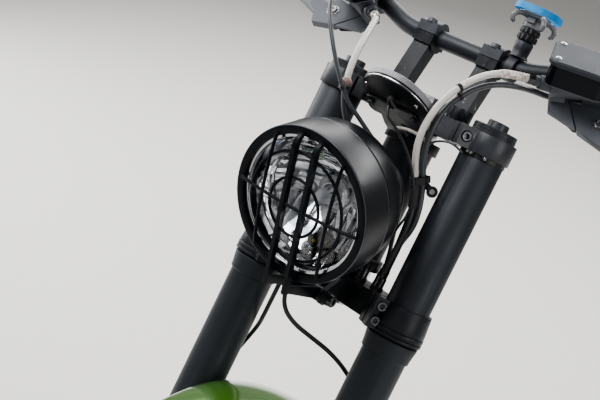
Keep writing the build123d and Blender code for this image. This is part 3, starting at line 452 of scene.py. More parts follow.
def piece(name, shape, look, place=STEER, body="steering", bevel=0.0, angle=35):
    """An object from a shape, whose edges over an angle in degrees stay sharp."""
    mesh = bpy.data.meshes.new(name)
    points, faces = placed(shape, place)
    mesh.from_pydata(points, [], faces)
    work = bmesh.new()
    work.from_mesh(mesh)
    bmesh.ops.remove_doubles(work, verts=work.verts, dist=2e-6)
    bmesh.ops.recalc_face_normals(work, faces=work.faces)
    work.to_mesh(mesh)
    work.free()
    mesh.shade_smooth()
    mesh.set_sharp_from_angle(angle=radians(angle))
    return dressed(name, mesh, look, body, bevel)


def on_both_sides(name, shape, look, place):
    """The same shape on the left and mirrored on the right, as one piece."""
    return piece(name, copies(shape, [hand @ place for hand in HANDS.values()]), look, METRES)


# %% [markdown]
# ## Dressing the CAD pieces
# The rigid CAD pieces already have their real outline. They keep it, and get a finish and broken edges by
# modifiers, which leave the mesh itself alone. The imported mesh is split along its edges, so a weld comes first.
# Two of them are several pieces in reality: the reservoir has a grey foot, a glossy tank and a lid, and the riser
# a separate cap. There the finish changes at a height over the piece's own foot, which needs no new shape.

# %% Finishes that change with height
TANK_FROM, LID_FROM = -12, 13
CAP_FROM = 202


def level(place, base):
    """Height of a place over the XY plane of a frame, in metres."""
    up = base.to_3x3() @ Vector((0, 0, 1)) / MM
    along_up = node_after("VectorMath", {0: place, 1: up}, "Value", operation="DOT_PRODUCT")
    return calculated("SUBTRACT", along_up, up.dot(base.translation))


def over(height, start):
    """Zero below a height in millimetres and one above it."""
    return spread(height, 0, 1, (start - 0.15) * MM, (start + 0.15) * MM)


for end, hand in HANDS.items():
    shader, place = even_finish("reservoir_" + end, "black_cast", metal=0.2)
    height = level(place, hand @ BAR @ TANK)
    over_foot, in_lid = over(height, TANK_FROM), over(height, LID_FROM)
    tank_zone = calculated("SUBTRACT", over_foot, in_lid)
    cloud = spread(noise(place, 30, 4.0), 0, 1)
    foot = two_tones(cloud, (0.080, 0.088, 0.102), (0.112, 0.121, 0.138))
    lid = two_tones(cloud, (0.036, 0.040, 0.047), (0.052, 0.057, 0.066))
    gloss = two_tones(cloud, (0.004, 0.005, 0.007), (0.008, 0.009, 0.012))
    not_foot = calculated("ADD", tank_zone, in_lid)
    feed(shader, {"Base Color": two_tones(tank_zone, two_tones(in_lid, foot, lid), gloss),
                  "Roughness": spread(tank_zone, 0.50, 0.22, 0, 1),
                  "Specular IOR Level": spread(not_foot, 0.5, 0.2, 0, 1)})
    lift(shader, noise(place, 2200, 2.0), 1.4e-5)

shader, place = even_finish("riser_black", "black_cast", shine=0.2)
in_cap = over(level(place, STEER), CAP_FROM)
cloud = spread(noise(place, 140, 4.0, (1, 1, 0.2)), 0, 1)
flecks = spread(noise(place, 150, 2.0, (1, 1, 0.5)), 0, 1, 0.68, 0.76)
marked = two_tones(flecks, two_tones(cloud, (0.004, 0.005, 0.007), (0.030, 0.033, 0.040)), (0.24, 0.25, 0.27))
cap = two_tones(cloud, (0.048, 0.053, 0.062), (0.070, 0.076, 0.088))
feed(shader, {"Base Color": two_tones(in_cap, marked, cap), "Roughness": spread(cloud, 0.30, 0.48, 0, 1)})
lift(shader, noise(place, 1500, 2.0), 3e-5)
print("finishes with zones: reservoirs and riser")

# %% [markdown]
# ## The CAD pieces in their finishes
# Now every CAD piece that stays takes its finish, and its edges are broken as wide as on the real part: a forged
# lever is round, a turned tube hardly broken at all. The other CAD pieces are replaced further down by finer ones.

# %% Finish and broken edge of each CAD piece
CAD_LOOKS = {               # finish, then the pieces with the width of their broken edge in mm
    "cast_black": {"steering_head": 0.8, "lower_yoke": 0.9, "fork_foot": 0.8, "caliper": 0.8, "wheel_rim": 0.8,
                   "lamp_bracket": 0.7, "gauge_bracket": 0.4, "brake_splitter": 0.4},
    "cast_satin": {"upper_yoke": 0.9, "fork_cap": 0.6},
    "tube_black": {"fork_tube": 0.4},
    "turned_steel": {"steering_stem": 0.4, "wheel_axle": 0.5},
    "stanchion_chrome": {"stanchion": 0.0},
    "bolt_dark": {"yoke_unions": 0.3},
    "green_gloss": {"mudguard": 0.4},
    "bar_black": {"handlebar": 0.4},
    "riser_black": {"bar_riser": 0.8},
    "plastic_black": {"switch_housing": 0.6},
    "reservoir_": {"master_cylinder": 0.8},
    "lever_black": {"lever": 1.4},
}
looks = {name: (look, width) for look, widths in CAD_LOOKS.items() for name, width in widths.items()}
dressed_nodes = 0
for name, obj in nodes.items():
    kind = name.removesuffix("_left").removesuffix("_right")
    if kind not in looks:
        continue
    look, width = looks[kind]
    if kind == "master_cylinder":
        look += name.split("_")[-1]    # each side has its own zones
    obj.data.materials.clear()
    obj.data.materials.append(LOOKS[look])
    obj.modifiers.new("weld", "WELD").merge_threshold = 0.02 * MM
    if width:
        soften(obj, width)
    dressed_nodes += 1
print("CAD pieces dressed:", dressed_nodes)

# %% [markdown]
# ## Headlamp shell
# The lamp's bucket and its flange are spun and turned metal, so they are lathe pieces. The imported solid has few
# facets. This skin follows the same outline with many more, because the big curved shell is the first thing that
# the eye meets. A silver bezel holds the glass. A thin bead of lighter grey metal runs along the shell's rear edge
# and along the flange's outer edge: a painted highlight, standing in for the thin light lines that these edges catch.

# %% Bucket, flange and trim
FLANGE_R, FLANGE_IN = 87.8, 78.0
SHELL = 43.0                # length of the wide front part
BUCKET_R, BUCKET_STEP, BUCKET_DEPTH = 84.0, 66.0, 117.0
LENS_R = 74.5
LENS_IN = 7.0               # lens rim behind the flange's face
EDGE_R = 0.55
FINE = 144                  # facets round a big piece
RIM = LAMP @ shift(0, 0, -LENS_IN)


def arc(a, b, c, steps):
    """Points of the circle through a, b and c, from a to c, without a itself."""
    (ax, ay), (bx, by), (cx, cy) = a, b, c
    aa, bb, cc = ax * ax + ay * ay, bx * bx + by * by, cx * cx + cy * cy
    d = 2 * (ax * (by - cy) + bx * (cy - ay) + cx * (ay - by))
    ux = (aa * (by - cy) + bb * (cy - ay) + cc * (ay - by)) / d
    uy = (aa * (cx - bx) + bb * (ax - cx) + cc * (bx - ax)) / d
    radius = sqrt((ax - ux) ** 2 + (ay - uy) ** 2)
    start = atan2(ay - uy, ax - ux)
    sweep = (atan2(cy - uy, cx - ux) - start + pi) % tau - pi
    return [(ux + radius * cos(start + sweep * k / steps), uy + radius * sin(start + sweep * k / steps))
            for k in range(1, steps + 1)]


def lamp_piece(name, shape, look, place=LAMP, **more):
    """A piece that tilts with the lamp."""
    return piece(name, shape, look, place, "headlamp", **more)


def lamp_ring(name, outline, look, place=LAMP, **more):
    """A closed outline turned round the lamp's axis."""
    return lamp_piece(name, turned(outline, FINE, loop=True), look, place, **more)


shell = [(FLANGE_IN, -3), (FLANGE_IN, -0.5), (FLANGE_IN + 0.5, 0), (FLANGE_R - 2.2, 0), (FLANGE_R - 1, -0.5),
         (FLANGE_R - 0.2, -1.5), (FLANGE_R, -3), (FLANGE_R, 0.8 - SHELL), (FLANGE_R - 0.8, -SHELL),
         (BUCKET_R, -SHELL - 0.6), (BUCKET_R, -SHELL - 5), (BUCKET_R - 0.6, -SHELL - 5.4),
         (BUCKET_R - 0.6, -SHELL - 6.4), (BUCKET_R, -SHELL - 6.8), (BUCKET_R, -BUCKET_STEP)]
shell += arc((BUCKET_R, -BUCKET_STEP), (64, -98), (24, -BUCKET_DEPTH), 16)
shell += [(22, -BUCKET_DEPTH), (0, -BUCKET_DEPTH), (0, 4 - BUCKET_DEPTH), (22, 4 - BUCKET_DEPTH)]
shell += arc((22, 4 - BUCKET_DEPTH), (61, -95), (BUCKET_R - 3, -BUCKET_STEP), 10)
bucket = lamp_ring("lamp_shell", shell + [(BUCKET_R - 3, -3)], "lamp_black", angle=30)
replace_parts(bucket, "lamp_bucket")

wall = BUCKET_R - 3.15
trim = [(LENS_R, 1), (LENS_R + 1, 2.2), (LENS_R + 3, 2.4), (wall - 0.6, 1), (wall, 0), (wall, -12), (LENS_R, -12)]
rim = lamp_ring("lamp_rim", trim, "lamp_black", RIM, angle=30)
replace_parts(rim, "lamp_trim")
flange = [(FLANGE_IN - 0.3, -2.6), (FLANGE_IN - 0.3, 0.1), (FLANGE_IN + 0.3, 0.4), (FLANGE_R - 2.4, 0.4),
          (FLANGE_R - 1.2, 0.1), (FLANGE_R - 1.6, -0.4), (FLANGE_IN + 0.4, -0.4)]
lamp_ring("flange_ring", flange, "wire_black")
bezel = ((-1.6, -1), (-1.2, 2.2), (-0.2, 3.2), (2.6, 3.4), (3.4, 2.6), (3.4, -1))
lamp_ring("lens_bezel", [(LENS_R + r, z) for r, z in bezel], "bezel_silver", RIM, angle=40)
# Beads of lighter metal along the shell's rear edge and the flange's outer edge: painted highlights.
beads = []
for radius, z in ((FLANGE_R - 0.2, 0.8 - SHELL), (FLANGE_R - 0.9, -0.9)):
    beads.append(turned([(radius + p.x, z + p.y) for p in circle(EDGE_R, 0, 10)], FINE, loop=True))
lamp_piece("shell_edges", joined(beads), "edge_worn")
print("lamp shell:", len(bucket.data.polygons), "faces")

# %% [markdown]
# ## Reflector
# Behind clear glass, the bowl itself shapes the beam: it is pressed into panels, each turned a little its own way,
# so that the lamp sparkles in patches of light and dark. Here each panel is a small curved mirror that follows the
# bowl, is tilted and bulged by a seeded draw, the same every time, and has edges that reach back to close the step
# to its neighbours. Round the rim runs a ring of narrow flutes.

# %% One panel
BOWL_DEPTH = 50.0
BOWL_Z = -LENS_IN - 12.15
BOWL_R = LENS_R - 1
FLUTE_R = 63.0              # the fluted ring starts here
FLUTES = 40
BLOCKS_FROM = -12           # the lowest row of broad panels starts here
BAND = 12.6                 # height of a row of panels
SKIRT = 4.0                 # how far a panel's edges reach back


def bowl_height(x, y):
    """Height of the bowl at a point of its face."""
    r = min(sqrt(x * x + y * y) / BOWL_R, 1.0)
    return BOWL_Z - BOWL_DEPTH * (1 - r ** 2.2) ** 0.8


def mirror(place, across, up, limit, tilt, bulge, raised=0.0):
    """One panel with its edges. place takes (0..1, 0..1) to X and Y; past the limit it slides in."""
    grid, kept = [], []
    cx, cy = place(0.5, 0.5)
    for j in range(up + 1):
        for i in range(across + 1):
            x, y = place(i / across, j / up)
            r = sqrt(x * x + y * y)
            kept.append(r < limit)
            if r > limit:
                x, y = x * limit / r, y * limit / r
            v = 2 * j / up - 1
            height = bowl_height(x, y) + raised + tilt[0] * (x - cx) + tilt[1] * (y - cy) + bulge * (v * v - 1)
            grid.append(Vector((x, y, min(height, BOWL_Z))))
    if not any(kept):
        return [], []
    low, wide = len(grid), across + 1
    faces = [(k, k + 1, k + wide + 1, k + wide) for k in range(up * wide) if k % wide < across
             and (kept[k] or kept[k + 1] or kept[k + wide] or kept[k + wide + 1])]
    edge = [*range(across), *range(across, low - 1, wide), *range(low - 1, low - wide, -1),
            *range(low - wide, 0, -wide)]
    grid += [grid[k] - Vector((0, 0, SKIRT)) for k in edge]
    for n, k in enumerate(edge):
        after = (n + 1) % len(edge)
        if kept[k] or kept[edge[after]]:
            faces.append((k, low + n, low + after, edge[after]))
    return grid, faces


def block(x0, x1, y0, y1):
    """Places in a rectangle."""
    return lambda u, v: (x0 + (x1 - x0) * u, y0 + (y1 - y0) * v)


def flute(k):
    """Places in a short sector of the rim."""
    def at(u, v):
        r, angle = FLUTE_R + 0.4 + (BOWL_R - FLUTE_R) * v, tau * (k + u) / FLUTES
        return r * cos(angle), r * sin(angle)
    return at


def drawn(place, across, up, limit, x_span, y_span, bulge_span):
    """A panel whose slopes along X and Y and whose bulge are drawn from their spans."""
    tilt = random.uniform(*x_span), random.uniform(*y_span)
    return mirror(place, across, up, limit, tilt, random.uniform(*bulge_span))


print("a panel is cut off past", FLUTE_R, "mm, a flute past", BOWL_R, "mm")

# %% [markdown]
# ## The bowl
# Above the middle lie six rows of broad panels, staggered like bricks. Below it one large panel and seven tall narrow
# ones throw the light down onto the road. The finish is nearly a mirror, with slow dark and bright bands stretched
# sideways and painted into its colour: painted reflections.

# %% Panels, flutes and the bowl's back
random.seed(7)
mirrors = []
for row in range(6):
    y = BLOCKS_FROM + BAND * row
    seams = [-64, -40 + 9 * (row % 2), -12 - 7 * (row % 3), 16 + 5 * (row % 2), 42 - 6 * (row % 3), 64]
    mirrors += [drawn(block(x0, x1, y, y + BAND), 8, 7, FLUTE_R, (-0.06, 0.06), (-0.12, 0.05), (0.6, 1.3))
                for x0, x1 in zip(seams, seams[1:])]
mirrors.append(mirror(block(-64, 10, -64, BLOCKS_FROM), 26, 18, FLUTE_R, (0.13, -0.30), -1.6, -1.0))
mirrors += [drawn(block(x, x + 8, -64, BLOCKS_FROM), 4, 18, FLUTE_R, (-0.22, 0.22), (-0.10, 0.10), (-2.5, 1.5))
            for x in range(10, 66, 8)]
mirrors += [drawn(flute(k), 4, 5, BOWL_R, (-0.10, 0.10), (-0.10, 0.10), (0.2, 0.9)) for k in range(FLUTES)]

shader, place = even_finish("reflector_mirror", "reflector", metal=1.0)
# Slow dark and bright bands, stretched sideways, in the mirror's colour: painted reflections.
painted_reflection_bands = spread(noise(place, 17, 2.0, (1.0, 1.0, 2.6)), 0, 1, 0.34, 0.52)
coat_with(shader, painted_reflection_bands, (0.22, 0.24, 0.27), (0.97, 0.98, 1.0), noise(place, 40), (0.03, 0.08),
          noise(place, 45, 1.0), 5e-5)

bowl_back = turned([(LENS_R + 4, BOWL_Z - 0.2), (BOWL_R, BOWL_Z - 0.6), (LENS_R - 3, BOWL_Z - 12), (54, BOWL_Z - 42),
                    (20, BOWL_Z - 55)], FINE)
bowl = lamp_piece("lamp_mirrors", joined([shape for shape in mirrors if shape[1]] + [bowl_back]), "reflector_mirror",
                  angle=24)
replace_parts(bowl, "lamp_reflector")
print("panels in the bowl:", len(mirrors))

# %% [markdown]
# ## Bulb and side light
# The bulb is a glass tube in a turned socket, with three dark slots in its side. Below it stands the side light, a
# black socket with a small yellow bulb in its mouth. All of these are lathe pieces, drawn from their own foot.

# %% Bulb, its socket and the side light
BULB = LAMP @ shift(0, 0, BOWL_Z - 48)
SIDE_LIGHT = LAMP @ shift(9.5, -47, BOWL_Z - 20)

tube_wall = [(9.5, 0), (9.5, 10), (8.5, 12), (8.5, 24), (6.5, 30), (3, 33), (0, 33.5)]
lamp_piece("bulb", turned(tube_wall, 48), "bulb_glass", BULB)
slots = [turn(5 + 36 * k, "Z") @ shift(8.5, 0, 17) @ turn(90, "Y") for k in range(3)]
lamp_piece("bulb_slots", copies(tablet(2.4, 0.75, 0, 0.35), slots), "rubber_dark", BULB)
socket = [(21, 1), (20, 5), (14, 6), (13, 9), (10.5, 9), (10, 4)]
lamp_piece("bulb_socket", turned(socket, 64), "turned_steel", BULB)
side_socket = [(7.6, -12), (7.6, 8.4), (6.8, 9.2), (4.6, 8.8), (3.6, 6.4), (2.0, 6.2)]
lamp_piece("side_light_socket", turned(side_socket, 48), "wire_black", SIDE_LIGHT)
side_bulb = [(2.0, 6.0), (2.0, 7.6), (1.4, 8.6), (0, 9.0)]
lamp_piece("side_light_bulb", turned(side_bulb, 32), "mark_yellow", SIDE_LIGHT)
print("slots round the bulb:", len(slots))

# %% [markdown]
# ## Lamp glass
# The glass is a clear shallow dome of even thickness. It is a closed solid with an inner and an outer face,
# because light bends as it enters and leaves. Two spherical faces of the same radius are the simplest way to get
# that, and a very slight wave keeps its reflections from being perfect.

# %% Clear glass with a domed face
GLASS_R = LENS_R - 0.15
GLASS_T = 4.0
DOME = 6.0                  # height of the middle over the rim
BALL_R = (GLASS_R ** 2 + DOME ** 2) / (2 * DOME)    # radius of the sphere that the dome is cut from

shader, place = even_finish("lens_glass", "lens", clear=1.0, shine=0.15)
feed(shader, {"Base Color": (0.97, 0.98, 1.0, 1), "IOR": 1.45, "Roughness": spread(noise(place, 25), 0.0, 0.02)})
lift(shader, noise(place, 35, 2.0), 3e-5)

inside = [(r, sqrt(BALL_R ** 2 - r ** 2) - BALL_R + DOME) for r in (GLASS_R * k / 14 for k in range(15))]
outside = [(r, z + GLASS_T) for r, z in inside]
lens = lamp_piece("lamp_glass", turned(outside + inside[::-1], FINE), "lens_glass", RIM @ shift(0, 0, -11), angle=40)
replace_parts(lens, "lamp_lens")
print("glass is", GLASS_T, "mm thick")

# %% [markdown]
# ## Wire guard
# Round wires are bent over a dome and spot-welded where they cross two rings; two flat straps carry the middle and
# run on under the lamp to its foot bolt. A wire is a circle carried along its line, which keeps it round in every
# bend. The straps are cut from their side outline, like a part from sheet.


# %% A tube along a line
def carried(line, radii, count=20, closed=False):
    """Rings carried along a line without twisting. radii is one value or one for each point."""
    line = [Vector(p) for p in line]
    if not isinstance(radii, (list, tuple)):
        radii = [radii] * len(line)
    rings, side = [], None
    for i, point in enumerate(line):
        if closed:
            along = (line[(i + 1) % len(line)] - line[i - 1]).normalized()
        else:
            along = (line[min(i + 1, len(line) - 1)] - line[max(i - 1, 0)]).normalized()
        if side is None:
            side = along.orthogonal().normalized()
        side = (side - along * side.dot(along)).normalized()
        other = along.cross(side)
        rings.append([point + radii[i] * (side * cos(tau * k / count) + other * sin(tau * k / count))
                      for k in range(count)])
    return skin(rings, ends=not closed, loop=closed)


# %% Wires, rings and straps of the guard
GUARD_DOME_R = 453.0
GUARD_REACH = FLANGE_R - 3
GUARD_RINGS = (60.8, 32.9)
ROD_R, RING_ROD_R = 2.0, 1.7
RING_BEHIND = 0.9
WELD_R = 80.0
SIDE_ROD_X = 44.6
STRAP_X, STRAP_W = 13.3, 5.0
STRAP_FRONT, STRAP_BACK = 13.0, 5.0
PIVOT_Y, PIVOT_Z = -122.0, -57.0       # the lamp's foot bolt in its own frame
ON_EDGE = Matrix(((0, 0, 1, 0), (1, 0, 0, 0), (0, 1, 0, 0), (0, 0, 0, 1)))    # X, Y, Z of a drawing to Y, Z, X


def guard_z(r):
    """Middle of the rods ahead of the flange, over the dome at a radius."""
    rim_z = sqrt(GUARD_DOME_R ** 2 - GUARD_REACH ** 2)
    return ROD_R + 0.15 + sqrt(GUARD_DOME_R ** 2 - r ** 2) - rim_z


run = [2 * k / 20 - 1 for k in range(21)]
rod_reach = sqrt(WELD_R ** 2 - SIDE_ROD_X ** 2)
rods = [[(WELD_R * t, 0) for t in run]] + [[(side * SIDE_ROD_X, rod_reach * t) for t in run] for side in (-1, 1)]
wires = []
for rod in rods:
    line = [(x, y, guard_z(sqrt(x * x + y * y))) for x, y in rod]
    ends = [(x, y, ROD_R - 0.3) for x, y in (rod[0], rod[-1])]    # bent down onto the flange
    wires.append(carried([ends[0], *line[1:-1], ends[1]], ROD_R))
for radius in GUARD_RINGS:
    wires.append(carried(circle(radius, guard_z(radius) - RING_BEHIND, 96), RING_ROD_R, closed=True))

top, low = GUARD_REACH, -FLANGE_R - 9
strap = [(top - 24, STRAP_BACK), *arc((top - 24, STRAP_BACK), (top - 12, 3.4), (top - 8.2, 0.5), 4),
         (top - 3.4, 0.5), *arc((top - 3.4, 0.5), (top - 8.5, 9.0), (top - 24, STRAP_FRONT), 5),
         (low - 4, STRAP_FRONT), (low - 5, 4), (PIVOT_Y - 8, PIVOT_Z), (PIVOT_Y + 8, PIVOT_Z),
         (low + 4, STRAP_BACK - 1), (-top - 2, STRAP_BACK), (-top - 2, 0.1), (2 - top, 0.1), (2 - top, STRAP_BACK)]
for x in (-STRAP_X, STRAP_X):
    wires.append(placed(plate(rounded(strap, 1.2, 3), x - STRAP_W / 2, x + STRAP_W / 2), ON_EDGE))
foot = turned([(5.2, -20), (9, -20), (9, 20), (5.2, 20)], 48, loop=True)
wires.append(placed(foot, shift(0, PIVOT_Y, PIVOT_Z) @ turn(90, "Y")))
guard = lamp_piece("wire_guard", joined(wires), "wire_black", bevel=0.5)
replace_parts(guard, "lamp_guard")
print("guard wires and straps:", len(wires))

# %% [markdown]
# ## Hoses and cables
# A hose is one smooth curve. A NURBS spline of order three, with the points of the CAD route as its control points,
# bends as a real hose does and keeps its ends square to their fittings. Steel braid under a clear sleeve looks pale
# grey with a fine lattice: two sets of strands wind round the hose, one to the left and one to the right. The finish
# draws both as waves over one coordinate along the hose and one around it.

# %% Braid of steel under a clear sleeve
STRANDS = 14
PITCH = 7.0                 # millimetres of hose for one turn of a strand

shader, place = even_finish("braid_steel", "braided_hose", metal=0.15, coat=0.4, coat_rough=0.25)
on_hose = place.id_data.nodes.new("ShaderNodeUVMap").outputs["UV"]
along, around = (node_after("SeparateXYZ", {0: on_hose}, axis) for axis in "XY")
winding = calculated("MULTIPLY", along, tau * STRANDS / 2 / (PITCH * MM))
slants = [calculated("MULTIPLY", around, way * tau * STRANDS / 2) for way in (1, -1)]
weave = calculated("MAXIMUM", *(calculated("SINE", calculated("ADD", slant, winding)) for slant in slants))
coat_with(shader, spread(weave, 0, 1, -0.2, 0.9), (0.40, 0.375, 0.35), (0.80, 0.77, 0.73),
          noise(place, 80), (0.30, 0.45), weave, 1.5e-4)
print("strands of braid:", 2 * STRANDS)

# %% [markdown]
# ## Tubes along a spline
# Blender can give a curve a round section by itself, but then the tube's coordinates don't run in metres. So the
# spline is turned into a line of points, a circle is carried along it, and each corner gets its length along the
# hose. The same lengths later say where a nut or a sleeve sits.


# %% Tubes with a coordinate along and around
def meshed(curve):
    """Points and faces of a curve or a text."""
    carrier = bpy.data.objects.new("carrier", curve)
    mesh = bpy.data.meshes.new_from_object(carrier)
    bpy.data.objects.remove(carrier)
    return [v.co.copy() for v in mesh.vertices], [tuple(face.vertices) for face in mesh.polygons]


def spline_line(points):
    """The line that a NURBS spline with these control points follows."""
    curve = bpy.data.curves.new("route", "CURVE")
    curve.dimensions = "3D"
    curve.resolution_u = 8
    spline = curve.splines.new("NURBS")
    spline.points.add(len(points) - 1)
    for point, co in zip(spline.points, points):
        point.co = (*co, 1)
    spline.order_u = 3
    spline.use_endpoint_u = True
    return meshed(curve)[0]


def length_of(line):
    return sum((b - a).length for a, b in zip(line, line[1:]))


def hose(name, replaced, look, radius, points, sides=24):
    """A smooth tube along a route, with U in metres along it and V once around."""
    line = spline_line(points)
    mesh = bpy.data.meshes.new(name)
    points, faces = carried(line, radius * MM, sides)
    mesh.from_pydata(points, [], faces)
    lengths = [length_of(line[:k + 1]) for k in range(len(line))]
    layer = mesh.uv_layers.new(name="UVMap").data
    for face in mesh.polygons:
        if face.loop_total == 4:
            k, i = divmod(face.index, sides)
            for corner, (u, v) in zip(face.loop_indices, ((k, i), (k, i + 1), (k + 1, i + 1), (k + 1, i))):
                layer[corner].uv = (lengths[u], v / sides)
    mesh.shade_smooth()
    mesh.set_sharp_from_angle(angle=radians(50))
    obj = dressed(name, mesh, look, "steering")
    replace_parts(obj, replaced)
    print(name, "length", round(lengths[-1] / MM), "mm")
    return line


def stretch_of(line, start, end):
    """The part of a line between two lengths from its start, in metres."""
    out, done = [], 0.0
    for a, b in zip(line, line[1:]):
        step = (b - a).length
        if done <= start < done + step:
            out.append(a.lerp(b, (start - done) / step))
        if start < done + step <= end:
            out.append(b)
        if done <= end < done + step:
            out.append(a.lerp(b, (end - done) / step))
            break
        done += step
    return out


def point_at(line, along):
    """The point at a length along a line, in metres."""
    return stretch_of(line, along, 1)[0]


def nearest(line, point):
    """Length along a line of its point nearest to a place, in metres."""
    k = min(range(len(line) - 1), key=lambda i: (line[i] - point).length)
    return length_of(line[:k + 1])


def evenly(line, count):
    """A line divided anew into equal steps."""
    total = length_of(line)
    return [line[0]] + [point_at(line, total * k / count) for k in range(1, count)] + [line[-1]]


def collar(name, line, start, end, profile, look, sides=32):
    """A sleeve round a hose between two lengths in millimetres. profile is radii along it, in millimetres."""
    part = evenly(stretch_of(line, start * MM, end * MM), len(profile) - 1)
    return piece(name, carried(part, [r * MM for r in profile], sides), look, METRES, angle=30)


# %% [markdown]
# ## The routes
# Where a hose starts and ends is fixed by its fittings, which sit on the bar and on the lower yoke. Between them it
# hangs by its own stiffness. So each route has its ends in the frame of their fitting and its middle in the frame of
# the whole scene. The points are those of the CAD model, so the hoses stay where the solids are.

# %% Routes, from the fittings of the CAD model
UNION_TOP = -80
SPLITTER = STEER @ shift(-45.9, -46.9, -113.5) @ turn(14.27, "Z")
SPLITTER_REACH = 18         # from its middle to the end of its unions
GAUGE_BACK = 5


def route(place, *points):
    """Points drawn in a frame, in metres."""
    return [place @ Vector(p) for p in points]


outlet_root, outlet = route(BAR, (44, -34, -3), (23, -42.4, 3.9))
outlet_line = [outlet, outlet + (outlet - outlet_root).normalized() * 21 * MM]

clutch = hose("clutch_hose_braided", "clutch_hose", "braid_steel", 4.0, outlet_line + route(
    WORLD, (84, 28, 190.5), (72, 6, 184), (63, -18, 171), (58, -39, 154), (55.5, -52, 134), (54.5, -56, 112),
    (55, -53, 91), (57.5, -48, 71), (62, -46.5, 50), (67.5, -51, 30), (69, -58, 9),
) + route(STEER, (67, -49, -37), (63, -40, -59), (60.5, -34, UNION_TOP)))

loom = hose("loom_sleeve", "near_loom", "sleeve_grey", 3.5, route(
    BAR, (145.85, -6.5, -25), (122, -5.8, -25.2), (98, -5.6, -25.8), (75, -7.4, -25.6), (53, -10, -24.4),
    (34, -13, -21.5),
) + route(
    WORLD, (109.5, 76, 171), (101, 54, 176.2), (87, 36, 177), (74.5, 16, 172.5), (65.5, -5, 162.5), (60.5, -26, 149),
    (60, -40.5, 131), (60.5, -47, 110), (61.5, -46, 89), (64, -41, 69), (68, -40, 49), (72.5, -44.5, 29),
    (73, -49.5, 9),
) + route(STEER, (63, -39, -34), (54, -26, -57), (50, -17, UNION_TOP)))

brake = hose("brake_hose_braided", "brake_hose", "braid_steel", 4.0, route(HANDS["right"], *outlet_line) + route(
    WORLD, (-87.5, 27, 189.5), (-78, 4, 182.5), (-71, -18, 170), (-64, -38, 153), (-57, -51, 133), (-50.5, -54, 111),
    (-45, -46, 89), (-45, -37.5, 67), (-49, -36, 45), (-53.5, -40, 24),
) + route(STEER, (-56, -44, -17), (-56.5, -46.5, -42), (-52, -47.5, -68)) + route(SPLITTER, (-2, 0, SPLITTER_REACH)))

throttle = hose("throttle_cable_black", "throttle_cable", "sleeve_grey", 2.6, route(
    HANDS["right"] @ BAR, (165, -24.15, -8), (165, -46, -8), (154, -67, -2), (133, -84, 6), (106, -93, 12),
    (77, -96, 17), (50, -93, 20),
) + route(
    WORLD, (-130, -11, 215), (-109, -37, 198), (-87, -51, 174), (-66, -59, 149), (-47, -59.5, 122), (-28, -46, 99),
    (-6, -36, 76), (15, -34, 63.5), (32, -36.5, 56), (43, -40, 42), (47, -42, 23), (46, -39, 3),
) + route(STEER, (44, -21, -37), (42, -5, -58), (40, 6, UNION_TOP)), 16)

hose("gauge_cable_black", "gauge_cable", "hose_black", 1.5, route(
    GAUGE, (2, -12, -GAUGE_BACK), (2, -12, -GAUGE_BACK - 17),
) + route(
    WORLD, (28.5, -62, 117), (45.5, -61.5, 100.5), (61, -61, 78), (70, -60, 51.5), (68.5, -62, 27), (60, -61.5, 6),
    (50, -55, -19),
) + route(STEER, (34, -29.5, UNION_TOP + 20), (34, -29.5, UNION_TOP)), 12)

# %% [markdown]
# ## Brake lines
# From the splitter on the lower yoke a rubber line runs down behind each fork leg to its caliper. The last part is
# square to the caliper's mouth, which leans with it. The part along the leg is the same on both sides, so it is
# written once and mirrored.

# %% Brake lines down to the calipers
CALIPER_TURN = 42
AT_AXLE = shift(0, LEG_Y, AXLE_Z) @ turn(CALIPER_TURN, "X")     # in the fork's frame, its Y towards the calipers
mouth = Vector((85, 129.2, 56.3))
down_leg = [(98, 7, -268), (99, 7.5, -310), (98.5, 6, -352), (95, 2.5, -392), (90, -1.5, -424),
            AT_AXLE @ (mouth + turn(23, "X") @ Vector((0, 0, 26))), AT_AXLE @ mouth]
ACROSS = {
    "right": (-5, [(-55, -41, -168), (-65, -23, -190), (-78, -1, -212), (-91, 9, -240)]),
    "left": (5, [(-32, -45.5, -168), (-12, -43, -178), (14, -38, -182), (40, -26, -188), (60, -10, -200),
                 (77, 4, -217), (90, 9, -242)]),
}
for end, (x, over_yoke) in ACROSS.items():
    points = route(SPLITTER, (x, 0, -SPLITTER_REACH), (x, 0, -SPLITTER_REACH - 18)) + route(STEER, *over_yoke)
    points += route(HANDS[end] @ STEER, *down_leg)
    hose(f"brake_line_{end}_black", "brake_line_" + end, "hose_black", 2.8, points, 16)

# %% [markdown]
# ## What holds the hoses
# At the master cylinder a hexagon nut and a pale ribbed ferrule end the braid, and a clear wrap covers its first
# part. Cable ties hold the hoses in pairs at the top of their arc, and black and grey sleeves cover them further
# down. All of them sit on the hose's own line, found by the length along it, so that none can drift off when a route
# changes.


# %% Ferrules, wrap, ties and sleeves
def facing(place, direction):
    """A frame in the same millimetres at a place, whose Z points along a direction."""
    return Matrix.Translation(place) @ Vector(direction).to_track_quat("Z", "Y").to_matrix().to_4x4()


for name, line in (("clutch", clutch), ("brake", brake)):
    collar(name + "_nut", line, 0.2, 9, (6.2, 6.4, 6.4, 6.2), "bolt_dark", 6)
    collar(name + "_ferrule", line, 9, 21, (4.9, 5.2, 4.5, 5.2, 4.5, 5.2, 4.9), "ferrule_pale")
collar("clutch_wrap", clutch, 21, 45, (4.7, 4.9, 4.6, 4.9, 4.8, 5.0, 4.5, 4.3), "clear_wrap")
for at in (26, 29):
    collar("brake_ring_" + str(at), brake, at, at + 1.4, (4.4, 4.9, 4.9, 4.4), "bolt_bright")

